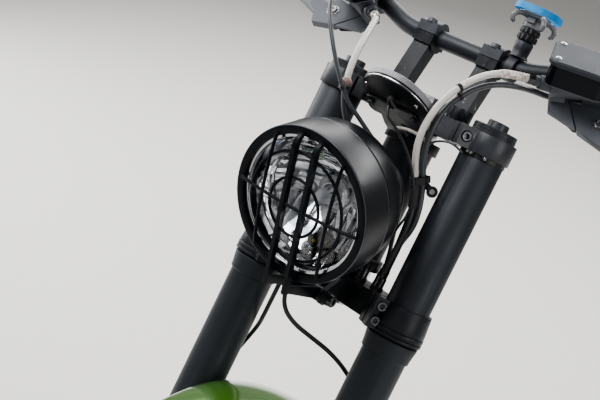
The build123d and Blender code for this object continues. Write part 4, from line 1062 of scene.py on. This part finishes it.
TIES = (("tie_top", clutch, loom, 4.1, (66, -12, 170)), ("tie_far", brake, throttle, 3.2, (-56, -54, 135)))
for name, first, second, second_r, spot in TIES:
    starts = [nearest(line, WORLD @ Vector(spot)) for line in (first, second)]
    shapes = []
    for line, at, r in zip((first, second), starts, (4.6, second_r)):
        shapes.append(carried(evenly(stretch_of(line, at, at + 4 * MM), 2), r * MM, 24))
    a, b = (point_at(line, at + 2 * MM) for line, at in zip((first, second), starts))
    shapes.append(carried([a.lerp(b, t) for t in (0.1, 0.5, 0.9)], 2.2 * MM, 8))
    shapes.append(placed(tablet(3.2, 3.6, 2.6, 6.4, 1.0), facing(a.lerp(b, 0.5), (0.25, -0.8, 0.55)) @ WORLD))
    piece(name, joined(shapes), "plastic_black", METRES)

sleeve_at = nearest(clutch, Vector((0.0578, -0.048, 0.068))) / MM
tape_at = nearest(brake, Vector((-0.056, -0.050, 0.131))) / MM
clutch_end, brake_end = length_of(clutch) / MM - 4, length_of(brake) / MM - 4
collar("clutch_sleeve", clutch, sleeve_at, sleeve_at + 38, (4.9, *(5.6, 5.6, 5.2) * 2, 5.6, 5.6, 4.9), "rubber_dark")
collar("clutch_sheath", clutch, sleeve_at + 4, clutch_end, [4.35] * 28, "hose_black")
collar("brake_tape", brake, tape_at - 9, tape_at - 1, (4.6, 6.2, 7.0, 7.2, 6.4), "tape_brown")
collar("brake_sheath", brake, tape_at, brake_end, [4.35] * 36, "sleeve_grey")
for name, line, span, r in (("clutch", clutch, 14, 4.9), ("loom", loom, 12, 4.4), ("throttle", throttle, 14, 3.5)):
    total = length_of(line) / MM
    collar(name + "_end", line, total - span, total - 0.3, (r - 0.6, r, r, r), "bolt_dark")
print("sleeve on the clutch hose starts at", round(sleeve_at), "mm")

# %% [markdown]
# ## Screws
# A socket screw is a short cylinder with a chamfered crown and a recess for its key. The recess is what makes it
# read as a screw, so it is modelled: the rings inside the crown follow the hexagon or the six-lobed star of the
# key. All the screws of one finish on one body are one piece.


# %% Screw heads
def screw(radius, height, drive="star", sides=48):
    """A socket head standing on its frame's XY plane."""
    def key(scale, z):
        if drive == "star":
            return circle(radius * scale, z, sides, 6, 0.17)
        ring = []
        for i in range(sides):
            angle = tau * i / sides
            r = radius * scale * 1.08 * cos(pi / 6) / cos(angle % (pi / 3) - pi / 6)
            ring.append(Vector((r * cos(angle), r * sin(angle), z)))
        return ring
    return skin([circle(radius, 0, sides), circle(radius, height * 0.8, sides), circle(radius * 0.88, height, sides),
                 key(0.54, height), key(0.50, height - radius * 0.06), key(0.50, height * 0.35),
                 key(0.05, height * 0.3)])


def washer(radius, inner, thickness, sides=40):
    return turned([(inner, 0), (radius, 0), (radius, thickness), (inner, thickness)], sides, loop=True)


PINCH_IN, SEAT_OUT = 34, 8.5           # from a leg's middle to its pinch screw, and on to the head's seat
UPPER_MID, LOWER_MID = 107, -113.5     # middles of the two yokes
RISER_X, RISER_TOP = 44.6, 214.8
LID_TOP = 18.6
EARS_HALF = 32.3                       # half the width over the ears at the lamp's foot
LAMP_FOOT = WORLD @ shift(0, -120, -84)

seats = []
for side in (-1, 1):
    inward, outward = Vector((-side, -1, 0)).normalized(), Vector((side, -1, 0)).normalized()
    for z in (UPPER_MID, LOWER_MID - 9, LOWER_MID + 9):
        seats.append(facing(Vector((side * LEG_X, LEG_Y, z)) + inward * PINCH_IN + outward * SEAT_OUT, outward))
piece("pinch_screws", copies(screw(5.9, 7), seats), "bolt_dark")
cap_seats = [shift(x, y, RISER_TOP) for x in (-RISER_X, RISER_X) for y in (-4.5, 24.5)]
piece("riser_screws", copies(screw(6.2, 5.4, "hexagon"), cap_seats), "control_grey")
lid_seats = [TANK @ shift(x, y, LID_TOP) for y in (-18, 18) for x in (-27, 27)]
on_both_sides("lid_screws", copies(screw(3.4, 0.9), lid_seats), "bolt_bright", BAR)
pivot_screw = placed(joined([screw(6.2, 2.6, "hexagon"), washer(8.6, 6.4, 0.8)]), shift(-99, 31.6, 0))
on_both_sides("lever_pivots", pivot_screw, "bolt_bright", LEVER)
foot_seats = [shift(side * EARS_HALF, 0, 0) @ turn(side * 90, "Y") for side in (1, -1)]
piece("lamp_foot_bolt", copies(screw(7.5, 6, "hexagon"), foot_seats), "bolt_dark", LAMP_FOOT)
print("pinch screws:", len(seats))

# %% [markdown]
# ## Boots and jaws of the controls
# A rubber boot covers the place where the hose leaves each master cylinder, and two thin cheeks of the perch reach
# round each lever. Both are the same on either hand, so they are drawn once in the frame of the bar or of the lever
# and mirrored.

# %% Outlet boots and perch jaws
boot = turned([(8.4, -2), (8.4, 17), (7.6, 18.5), (6.2, 18.5), (6.2, 24), (5.6, 24.4)], 48)
on_both_sides("outlet_boots", boot, "control_grey", facing(outlet_root, outlet - outlet_root) @ WORLD)
jaw = plate([(-54, -2), (-59, 28), (-71, 39), (-80, 39), (-73, 6), (-62, -3)], -11.8, -10.3)
on_both_sides("perch_jaws", jaw, "wire_black", LEVER)
print("boots and jaws: one pair each")

# %% [markdown]
# ## Gauge
# From ahead one sees the back of the gauge and its rim, a knurled band with a thin silver line below it, and the
# rider sees the dial. The case is a lathe piece. The dial lies under thin glass, with strokes and plain numbers that
# are raised a tenth of a millimetre, because shapes stay sharp at any distance.

# %% Case, dial and glass
GAUGE_R, GAUGE_RIM = 46.0, 13.0
DIAL_R, DIAL_Z = 39.8, 9.4


def gauge_piece(name, outline, look, **more):
    """An outline turned round the gauge's axis."""
    return piece(name, turned(outline, FINE), look, GAUGE, **more)


case = [(0, -GAUGE_BACK), (GAUGE_R - 9.6, -GAUGE_BACK), (GAUGE_R - 8.8, 0.4 - GAUGE_BACK),
        (GAUGE_R - 6, 2 - GAUGE_BACK), (GAUGE_R - 2, -1), (GAUGE_R - 0.5, -0.4), (GAUGE_R, 0.6), (GAUGE_R, 3),
        (GAUGE_R - 0.8, 3.5), (GAUGE_R, 4), (GAUGE_R, GAUGE_RIM - 2.4), (GAUGE_R - 0.6, GAUGE_RIM - 0.8),
        (GAUGE_R - 2, GAUGE_RIM), (GAUGE_R - 4.8, GAUGE_RIM), (GAUGE_R - 5.6, GAUGE_RIM - 0.7), (DIAL_R, DIAL_Z),
        (0, DIAL_Z)]
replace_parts(gauge_piece("gauge_case", case, "gauge_black", angle=28), "gauge")
knurled = [circle(GAUGE_R + r, z, 480, 120, depth)
           for r, z, depth in ((-0.2, 4.6, 0), (0.3, 5.0, 0.0035), (0.3, 11.4, 0.0035), (-0.9, 12.4, 0))]
piece("gauge_knurl", skin(knurled, ends=False), "gauge_band", GAUGE, angle=40)
lower_line = ((-0.6, 1.2), (0.25, 1.4), (0.35, 2.0), (0.25, 2.6), (-0.6, 2.8))
gauge_piece("gauge_line", [(GAUGE_R + r, z) for r, z in lower_line], "bezel_silver")
gauge_piece("gauge_dial", [(0, DIAL_Z + 0.3), (DIAL_R - 0.6, DIAL_Z + 0.3), (DIAL_R - 0.2, DIAL_Z)], "dial_face")
piece("gauge_glass", turned([(0, 11.4), (DIAL_R, 11.0), (DIAL_R, 12.0), (0, 12.4)]), "lens_glass", GAUGE)
back_seats = [shift(x, y, -1.6) @ turn(180, "X") for x, y in ((-33, -21.5), (34, -20))]
piece("gauge_screws", copies(screw(2.6, 2.2), back_seats), "bolt_bright", GAUGE)
elbow = spline_line([(4, -22, -4), (4, -22, -9), (5.5, -19, -11), (9, -13, -11)])
piece("gauge_plug", carried(elbow, 3.6, 24), "plastic_black", GAUGE)
print("gauge:", 2 * GAUGE_R, "mm across")

# %% [markdown]
# ## Strokes, numbers and needle
# The scale runs round the dial as 36 steps, with a long stroke and a number at every fourth one. Each stroke is a
# thin plate turned to its angle. A number is text turned into a mesh, so it needs no picture and no font of its own.

# %% Strokes, numbers and needle
DIAL = GAUGE @ shift(0, 0, DIAL_Z + 0.3) @ turn(180, "Z")    # X to the rider's right, Y up the dial
SCALE_STEPS, SCALE_TOP = 36, 180
START, SWEEP = 225, 270
STROKE_END, NUMBER_R = DIAL_R - 3, DIAL_R - 14.5


def number(text, size):
    """A number as a thin solid on the dial."""
    letters = bpy.data.curves.new("number", "FONT")
    letters.body = text
    letters.size = size
    letters.align_x = letters.align_y = "CENTER"
    letters.extrude = 0.06
    return meshed(letters)


rim_r = DIAL_R - 2.2
marks = [turned([(rim_r, 0.02), (rim_r, 0.1), (rim_r + 0.6, 0.1), (rim_r + 0.6, 0.02)], 96, loop=True)]
for k in range(SCALE_STEPS + 1):
    angle = START - SWEEP * k / SCALE_STEPS
    long, wide = (7.0, 1.0) if k % 4 == 0 else (4.5, 0.7) if k % 2 == 0 else (2.8, 0.4)
    stroke = tablet(long / 2, wide / 2, 0.02, 0.12)
    marks.append(placed(stroke, turn(angle, "Z") @ shift(STROKE_END - long / 2, 0, 0)))
    if k % 4 == 0:
        spot = shift(NUMBER_R * cos(radians(angle)), NUMBER_R * sin(radians(angle)), 0.06)
        marks.append(placed(number(str(SCALE_TOP * k // SCALE_STEPS), 6), spot))
piece("gauge_marks", joined(marks), "dial_white", DIAL)
pointer = plate([(-8, -1.3), (24, -0.5), (30, 0), (24, 0.5), (-8, 1.3)], 0.6, 1.1)
piece("gauge_needle", placed(pointer, turn(START, "Z")), "needle_red", DIAL)
piece("needle_hub", turned([(0, 0.2), (4.2, 0.2), (4.2, 1.2), (3.6, 1.5), (0, 1.5)], 48), "plastic_black", DIAL)
print("dial marks:", len(marks))

# %% [markdown]
# ## Tyre
# The tyre is a lathe form with slanted grooves cut in its tread. Cutting them with booleans would be slow and leave
# poor faces. Instead the rings that go round the tyre lean as the grooves do, with close pairs of points where a
# groove's walls are, so lowering those points makes a clean groove.

# %% Tyre with slanted grooves
RIM_R, BEAD_R, TYRE_R = 228.0, 219.2, 300.0
SIDE_R, TYRE_HALF = 260.4, 60.0        # where the tyre is widest, and half its width
SHOULDER_R, SHOULDER_HALF = 279.8, 50.0
GROOVE_PAIRS = 26
GROOVE_DEPTH = 4.5
GROOVE_FROM, GROOVE_TO = 5.0, 44.0     # from the middle of the tread

flank = [(SHOULDER_R, SHOULDER_HALF)] + arc((SHOULDER_R, SHOULDER_HALF), (SIDE_R, TYRE_HALF), (RIM_R + 4, 47), 14)
flank += [(RIM_R + 2.5, 47.4), (RIM_R + 1.5, 45.8), (BEAD_R, 43.5)]
tread = arc((SHOULDER_R, -SHOULDER_HALF), (TYRE_R, 0), (SHOULDER_R, SHOULDER_HALF), 44)
section = [(r, -z) for r, z in reversed(flank)] + tread + flank[1:]
columns = [middle + step for middle in (0.25, 0.75) for step in (-0.25, -0.14, -0.046, -0.034, 0.034, 0.046, 0.14)]


def tread_ring(r, z):
    """One ring round the tyre, leaning with the grooves and sunk where one crosses it."""
    away = abs(z)
    lean = 0.9 * (min(away, GROOVE_TO) / GROOVE_TO) ** 1.3
    own = 0.25 if z < 0 else 0.75
    deep = GROOVE_DEPTH * max(0.0, min(1.0, (away - GROOVE_FROM) / 4, (GROOVE_TO - away) / 5))
    ring = []
    for pair in range(GROOVE_PAIRS):
        for column in columns:
            angle = tau * (pair + column + lean) / GROOVE_PAIRS
            radius = r - deep if abs(column - own) < 0.04 and r > SIDE_R else r
            ring.append(Vector((radius * cos(angle), radius * sin(angle), z)))
    return ring


def wheel_piece(name, shape, look, place=WHEEL, **more):
    """A piece that turns with the wheel."""
    return piece(name, shape, look, place, "front_wheel", **more)


tyre = wheel_piece("tyre_grooved", skin([tread_ring(r, z) for r, z in section], loop=True), "tyre_black", angle=32)
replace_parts(tyre, "tyre")
valve = turned([(0, 0), (5, 0), (5, 3), (3.4, 5), (3.4, 18), (4.2, 19), (4.2, 28), (3.4, 30), (0, 30)], 32)
wheel_piece("tyre_valve", placed(valve, turn(18, "Z") @ shift(199, 0, 0) @ turn(-90, "Y")), "rubber_dark")
print("tyre faces:", len(tyre.data.polygons))

# %% [markdown]
# ## Brake discs
# A disc is ground steel with drilled holes, on a cast carrier. A flat filled curve takes any number of holes and
# stays exact, where a lathe form would need a cut for each. The grinding wheel leaves fine rings round the axle, so
# the finish takes its noise from the distance to the axle.

# %% Ground and drilled discs
DISC_X, DISC_T = 64.0, 5.0
DISC_R, DISC_IN_R = 160.0, 126.0
HOLE_R, HOLE_ROWS = 3.0, 18
HOLE_RADII = (132.6, 139.4, 146.4, 153.2)
ARMS = 6
ARM_ROOT, ARM_TIP = (42.0, 0.0), (DISC_IN_R + 4, 20.0)

shader, place = even_finish("disc_ground", "disc_steel", metal=1.0)
offset = node_after("VectorMath", {0: place, 1: WHEEL.translation}, operation="SUBTRACT")
across = node_after("VectorMath", {0: offset, 1: (0, 1, 1)}, operation="MULTIPLY")
from_axle = node_after("VectorMath", {0: across}, "Value", operation="LENGTH")
cut_lines = node_after("TexNoise", {"Scale": 900, "W": from_axle}, noise_dimensions="1D")
coat_with(shader, spread(cut_lines, 0, 1), (0.24, 0.24, 0.25), (0.42, 0.42, 0.43), noise(place, 30), (0.24, 0.38),
          cut_lines, 2e-5)


def drilled(outer, inner, holes, thickness):
    """A flat ring with round holes, filled between its outlines. holes are (x, y, radius)."""
    curve = bpy.data.curves.new("drilled", "CURVE")
    curve.dimensions = "2D"
    curve.fill_mode = "BOTH"
    curve.extrude = thickness / 2
    for x, y, r, count in [(0, 0, outer, 180), (0, 0, inner, 144)] + [(*hole, 14) for hole in holes]:
        spline = curve.splines.new("POLY")
        spline.points.add(count - 1)
        for k, point in enumerate(spline.points):
            point.co = (x + r * cos(tau * k / count), y + r * sin(tau * k / count), 0, 1)
        spline.use_cyclic_u = True
    return meshed(curve)


def strip(a, ra, b, rb, z0, z1, count=16):
    """A flat bar with round ends."""
    turn_by = atan2(b[1] - a[1], b[0] - a[0])
    outline = []
    for centre, r, start in ((b, rb, -pi / 2), (a, ra, pi / 2)):
        for k in range(count + 1):
            angle = turn_by + start + pi * k / count
            outline.append((centre[0] + r * cos(angle), centre[1] + r * sin(angle)))
    return plate(outline, z0, z1)


holes = []
for row in range(HOLE_ROWS):
    for k, r in enumerate(HOLE_RADII):
        angle = radians(row * 360 / HOLE_ROWS + 4 * k)
        holes.append((r * cos(angle), r * sin(angle), HOLE_R))
band = drilled(DISC_R, DISC_IN_R, holes, DISC_T)
arms = [turn(arm * 360 / ARMS, "Z") for arm in range(ARMS)]
hub_ring = turned([(26, -2.4), (50, -2.4), (50, 1.5), (26, 1.5)], loop=True)
carrier = joined([hub_ring, copies(strip(ARM_ROOT, 9, ARM_TIP, 7, -2.4, 1.5), arms)])
button = turned([(0, -3.1), (6, -3.1), (6, -2.4), (4.4, -2.4), (4.4, 2.4), (6, 2.4), (6, 3.1), (3, 3.1), (2.6, 2.6),
                 (0, 2.6)], 32)
bolt = turned([(0, 1.5), (6.4, 1.5), (6.4, 3.6), (5.6, 4.2), (3, 4.2), (3, 2.4), (0, 2.4)], 32)
buttons = joined([copies(button, [arm @ shift(ARM_TIP[0] - 2, ARM_TIP[1] - 0.3, 0) for arm in arms]),
                  copies(bolt, [arm @ turn(30, "Z") @ shift(38, 0, 0) for arm in arms])])
for end, side in (("left", 1), ("right", -1)):
    at = WHEEL @ shift(0, 0, side * DISC_X) @ Matrix.Scale(side, 4, (0, 0, 1))
    disc = wheel_piece("disc_band_" + end, band, "disc_ground", at, bevel=0.3)
    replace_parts(disc, "brake_disc_" + end)
    wheel_piece("disc_carrier_" + end, carrier, "cast_black", at, bevel=0.5)
    wheel_piece("disc_buttons_" + end, buttons, "turned_steel", at)
print("drilled holes in each disc:", len(holes))

# %% [markdown]
# ## Grips
# The rubber grips have rows of small blocks. They are rings round the bar whose radius rises and falls, which
# makes every block at once and keeps the grip one closed skin. The inner end has a flange against the switch box.

# %% Grips
GRIP_FROM, GRIP_TO = 188.0, 312.0
GRIP_R, BORE_R = 16.5, 11.2
BLOCKS, ROWS = 28, 13

pitch = (GRIP_TO - GRIP_FROM - 14) / ROWS
rings = [(BORE_R, 0, 0), (GRIP_R + 3.4, 0, 0), (GRIP_R + 4, 1, 0), (GRIP_R + 4, 5, 0), (GRIP_R + 3.4, 6, 0),
         (GRIP_R - 0.8, 7, 0)]         # radius, distance from the flange, depth of the blocks
for row in range(ROWS):
    z = 9 + row * pitch
    rings += [(GRIP_R - 1, z, 0), (GRIP_R - 0.4, z + 0.8, 0.022), (GRIP_R - 0.4, z + pitch - 2.4, 0.022),
              (GRIP_R - 1, z + pitch - 1.6, 0)]
end_z = GRIP_TO - GRIP_FROM
rings += [(GRIP_R - 0.3, end_z - 4, 0), (GRIP_R - 0.3, end_z - 1, 0), (GRIP_R - 1.2, end_z, 0), (BORE_R, end_z, 0)]
grip_shape = skin([circle(r, GRIP_FROM + z, 168, BLOCKS, depth) for r, z, depth in rings], loop=True)
for end, hand in HANDS.items():
    grip = piece("grip_rubber_" + end, grip_shape, "rubber_dark", hand @ BAR @ turn(90, "Y"), angle=40)
    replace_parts(grip, "grip_" + end)
print("blocks on a grip:", BLOCKS * ROWS)

# %% [markdown]
# ## Switches
# Each switch box faces the rider with a rocker and a round button, and a dark seam shows where its two halves meet.
# They are drawn once, flat, and set on the left and the mirrored right box.

# %% Rockers, buttons and seams
key_mark = tablet(2.5, 0.8, 2.6, 3.6, 0.5)
rocker = joined([tablet(9, 5, 0, 2.6, 2), copies(key_mark, [shift(-4.5, 0, 0), shift(4.5, 0, 0)])])
push = turned([(6.4, 0), (6.4, 1.2), (5.2, 1.4), (5.2, 3.2), (4.4, 4), (0, 3.6)], 40)
seam = placed(tablet(18.5, 18.2, -12.3, -11.7), shift(165, -6, 0))
for (end, hand), look in zip(HANDS.items(), ("mark_yellow", "needle_red")):
    box = hand @ BAR
    piece("rocker_" + end, rocker, "control_grey", box @ shift(165, 12, -8) @ turn(-90, "X"), bevel=0.3)
    piece("push_" + end, push, look, box @ shift(158, 12, -21) @ turn(-90, "X"))
    piece("box_seam_" + end, seam, "rubber_dark", box)
print("switch boxes:", len(HANDS))

# %% [markdown]
# ## Phone holder
# A clamp on the bar carries a stalk with a ribbed collar, which locks the ball of the holder's head. Four claws
# spread from a small square base and curl down at their ends, and a blue elastic band goes round them. A claw is a
# tube that thins towards its end, drawn once and turned four times.

# %% Clamp, stalk, collar, claws and elastic
HOLDER = WORLD @ shift(70, bar_bend.y, bar_bend.z) @ turn(-22, "X")
QUARTERS = [45 + 90 * k for k in range(4)]


def holder_turned(name, outline, look, **more):
    """An outline turned round the holder's axis."""
    return piece(name, turned(outline, 64), look, HOLDER, **more)


bar_clamp = turned([(11.4, -6), (15.2, -6), (16, -5.2), (16, 5.2), (15.2, 6), (11.4, 6)], loop=True)
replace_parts(piece("holder_clamp", bar_clamp, "bar_black", HOLDER @ turn(90, "Y")), "phone_mount")
holder_turned("holder_stalk", [(12, 14.5), (9.8, 18), (10.4, 24), (10.8, 32), (9.6, 34.5), (8.4, 35)], "bar_black",
              angle=50)
ribbed = ((11.2, 35, 0), (11.6, 36, 0.05), (11.6, 41.5, 0.05), (10.6, 42, 0), (10.6, 43, 0), (11.6, 43.5, 0.05),
          (11.6, 49, 0.05), (11.2, 50, 0))
ribbed = skin([circle(r, z, 192, 12, depth) for r, z, depth in ribbed])
piece("holder_collar", ribbed, "plastic_black", HOLDER, angle=50)
holder_turned("holder_neck", [(9.6, 50), (11.0, 50.6), (11.2, 55), (10.4, 61), (9, 63), (0, 63)], "holder_grey")
piece("holder_pad", tablet(5.5, 5.5, 0, 4, 3), "holder_grey", HOLDER @ shift(0, -9, 60) @ turn(78, "X"), bevel=1.0)

claw_line = [(6, 0, 62), (13, 0, 63.5), (20, 0, 63), (25.5, 0, 60.5), (28, 0, 56), (27, 0, 51.5), (23.5, 0, 49.5)]
claw = carried(claw_line, [4.4, 4.0, 3.4, 3.2, 3.2, 3.0, 2.0])
claws = copies(claw, [turn(quarter, "Z") for quarter in QUARTERS])
piece("holder_claws", joined([claws, tablet(15, 15, 62.5, 67, 7)]), "holder_grey", HOLDER, angle=50, bevel=0.4)
elastic = []
for z, out in ((66, 29.2), (74, 28.6), (74, 27.4), (66, 28.0)):
    elastic.append([turn(quarter + 5 * step, "Z") @ Vector((out + 0.8 - 0.05 * step * step, 0, z))
                    for quarter in QUARTERS for step in range(-4, 5)])
piece("holder_elastic", skin(elastic, loop=True), "elastic_blue", HOLDER, bevel=0.3)
print("claws on the holder:", len(QUARTERS))

# %% [markdown]
# ## Small parts on the fork legs
# The fork caps have fine ridges for a hand. On the near leg, under the cap, sits a narrow band with screws, and two
# thin leads run from there to the gauge. A plastic clip on a little cast eye holds the clutch hose and the loom
# together; it is set between the two hoses as they really run, so it fits them.

# %% Cap ridges, band, leads and clip
CAP_TOP, RIDGES = 128, 6
ridge_line = [(24.8, CAP_TOP)]
for k in range(RIDGES):
    ridge_line += [(r, CAP_TOP - 1.55 * k - down) for r, down in (
        (26.0, 0.1), (26.3, 0.4), (26.3, 0.95), (26.0, 1.2), (25.5, 1.3), (25.5, 1.5))]
for end, side in (("left", 1), ("right", -1)):
    piece("cap_ridges_" + end, turned(ridge_line), "cast_satin", STEER @ shift(side * LEG_X, LEG_Y, 0), angle=30)

LEG_BAND = STEER @ shift(LEG_X, LEG_Y, 90)
straps, strap_screws = [washer(27.4, 26.2, 6)], []
for angle, wide, spots in ((-62, 3.5, (0,)), (-100, 5.5, (-2.6, 2.6))):
    at = shift(0, 0, 3) @ turn(angle, "Z") @ turn(90, "Y")
    straps.append(placed(tablet(2.4, wide, 27, 29.8, 1), at))
    strap_screws += [at @ shift(0, spot, 29.8) for spot in spots]
piece("leg_band", joined(straps), "plastic_black", LEG_BAND, bevel=0.3)
piece("band_screws", copies(screw(1.6, 0.8), strap_screws), "bolt_bright", LEG_BAND)
lead = spline_line(route(WORLD, (58, -44, 104), (63, -40, 111), (72, -38, 116), (82, -37, 118.5), (91, -36, 117),
                         (98, -33, 112)))
piece("leg_lead", carried(lead, 1.3 * MM, 12), "sleeve_grey", METRES)
lead = spline_line(route(WORLD, (22, -52, 114), (31, -50, 116), (41, -49, 116.5), (51, -46, 114), (57, -40, 108)))
piece("pale_lead", carried(lead, 1.9 * MM, 16), "braid_pale", METRES)

clip_at = (sleeve_at + 1) * MM
here, ahead = point_at(clutch, clip_at), point_at(clutch, clip_at + 5 * MM)
to_loom = (point_at(loom, nearest(loom, here)) - here) / MM
clip_z = (here - ahead).normalized()
clip_x = (to_loom - clip_z * to_loom.dot(clip_z)).normalized()
CLIP = Matrix.Translation(here) @ axes(clip_x, clip_z.cross(clip_x), clip_z) @ WORLD
span = to_loom.dot(clip_x)
clip = [strip((0, 0), 5.8, (span, 0), 5.2, -9, 0), strip((0, 0), 6.4, (span, 0), 5.8, -9, -7.6),
        strip((0, 0), 6.4, (span, 0), 5.8, -1.4, 0), strip((span + 3, 0), 3.4, (span + 5.5, 0), 3.4, -8, -1)]
piece("hose_clip", joined(clip), "plastic_black", CLIP, bevel=0.4)
EYE = facing(Vector((78.4, -38, 55.6)) * MM, (0.45, -0.8, 0.35)) @ WORLD
eye = joined([placed(washer(6.6, 3.2, 2.4), shift(0, 0, -1)), strip((0, 0), 4.0, (-13, 9), 3.4, -3, -1)])
piece("clip_eye", eye, "cast_black", EYE, bevel=0.4)
piece("clip_screw", screw(3.4, 2.6), "bolt_bright", EYE)
print("clip round the hoses:", round(span, 1), "mm between their middles")

# %% [markdown]
# ## Bolts of the calipers and the mudguard
# Each caliper has two long bolts through its halves, two mounting bolts, two round plugs over its pistons and a
# bleed nipple. They are drawn flat on the caliper's outer face and set there, and mirrored for the other side. The
# mudguard hangs on two screws at each fork foot.

# %% Bolts of the calipers and the mudguard
CALIPER_LOW = DISC_R - 50
CALIPER_MID = (CALIPER_LOW + DISC_R + 12) / 2
CALIPER = STEER @ shift(DISC_X, 0, 0) @ AT_AXLE @ ON_EDGE
EAR_X, EAR_Z = 71.6, -484              # upper screw of the mudguard, at the inner side of a fork foot
FOOT_X, FOOT_Z = 122, AXLE_Z - 20      # lower screw, at the outer side

bolts = [shift(x, y, 34) for y in (-46, 46) for x in (CALIPER_LOW + 10, CALIPER_LOW - 10.3)]
plug = joined([washer(14, 12.5, 1.2), screw(12, 2.2, "hexagon")])
nipple = turned([(4.5, 0), (4.5, 5), (3, 6), (3, 9), (2.2, 9.6), (3, 10.5), (2.6, 14), (0, 14)], 24)
plugs = joined([copies(plug, [shift(CALIPER_MID - 2, y, 36) for y in (-24, 24)]),
                placed(nipple, shift(CALIPER_MID + 22, 46, 20) @ turn(-90, "X"))])
for end, hand in HANDS.items():
    piece("caliper_bolts_" + end, copies(screw(6.5, 6, "hexagon"), bolts), "bolt_bright", hand @ CALIPER)
    piece("caliper_plugs_" + end, plugs, "bolt_dark", hand @ CALIPER)

ear_screws = []
for side in (-1, 1):
    ear_screws.append(placed(screw(6.0, 4), shift(side * EAR_X, LEG_Y, EAR_Z) @ turn(-90 * side, "Y")))
    ear_screws.append(placed(screw(5.0, 4), shift(side * FOOT_X, LEG_Y, FOOT_Z) @ turn(90 * side, "Y")))
piece("mudguard_screws", joined(ear_screws), "bolt_dark")
print("caliper bolts:", 2 * len(bolts))
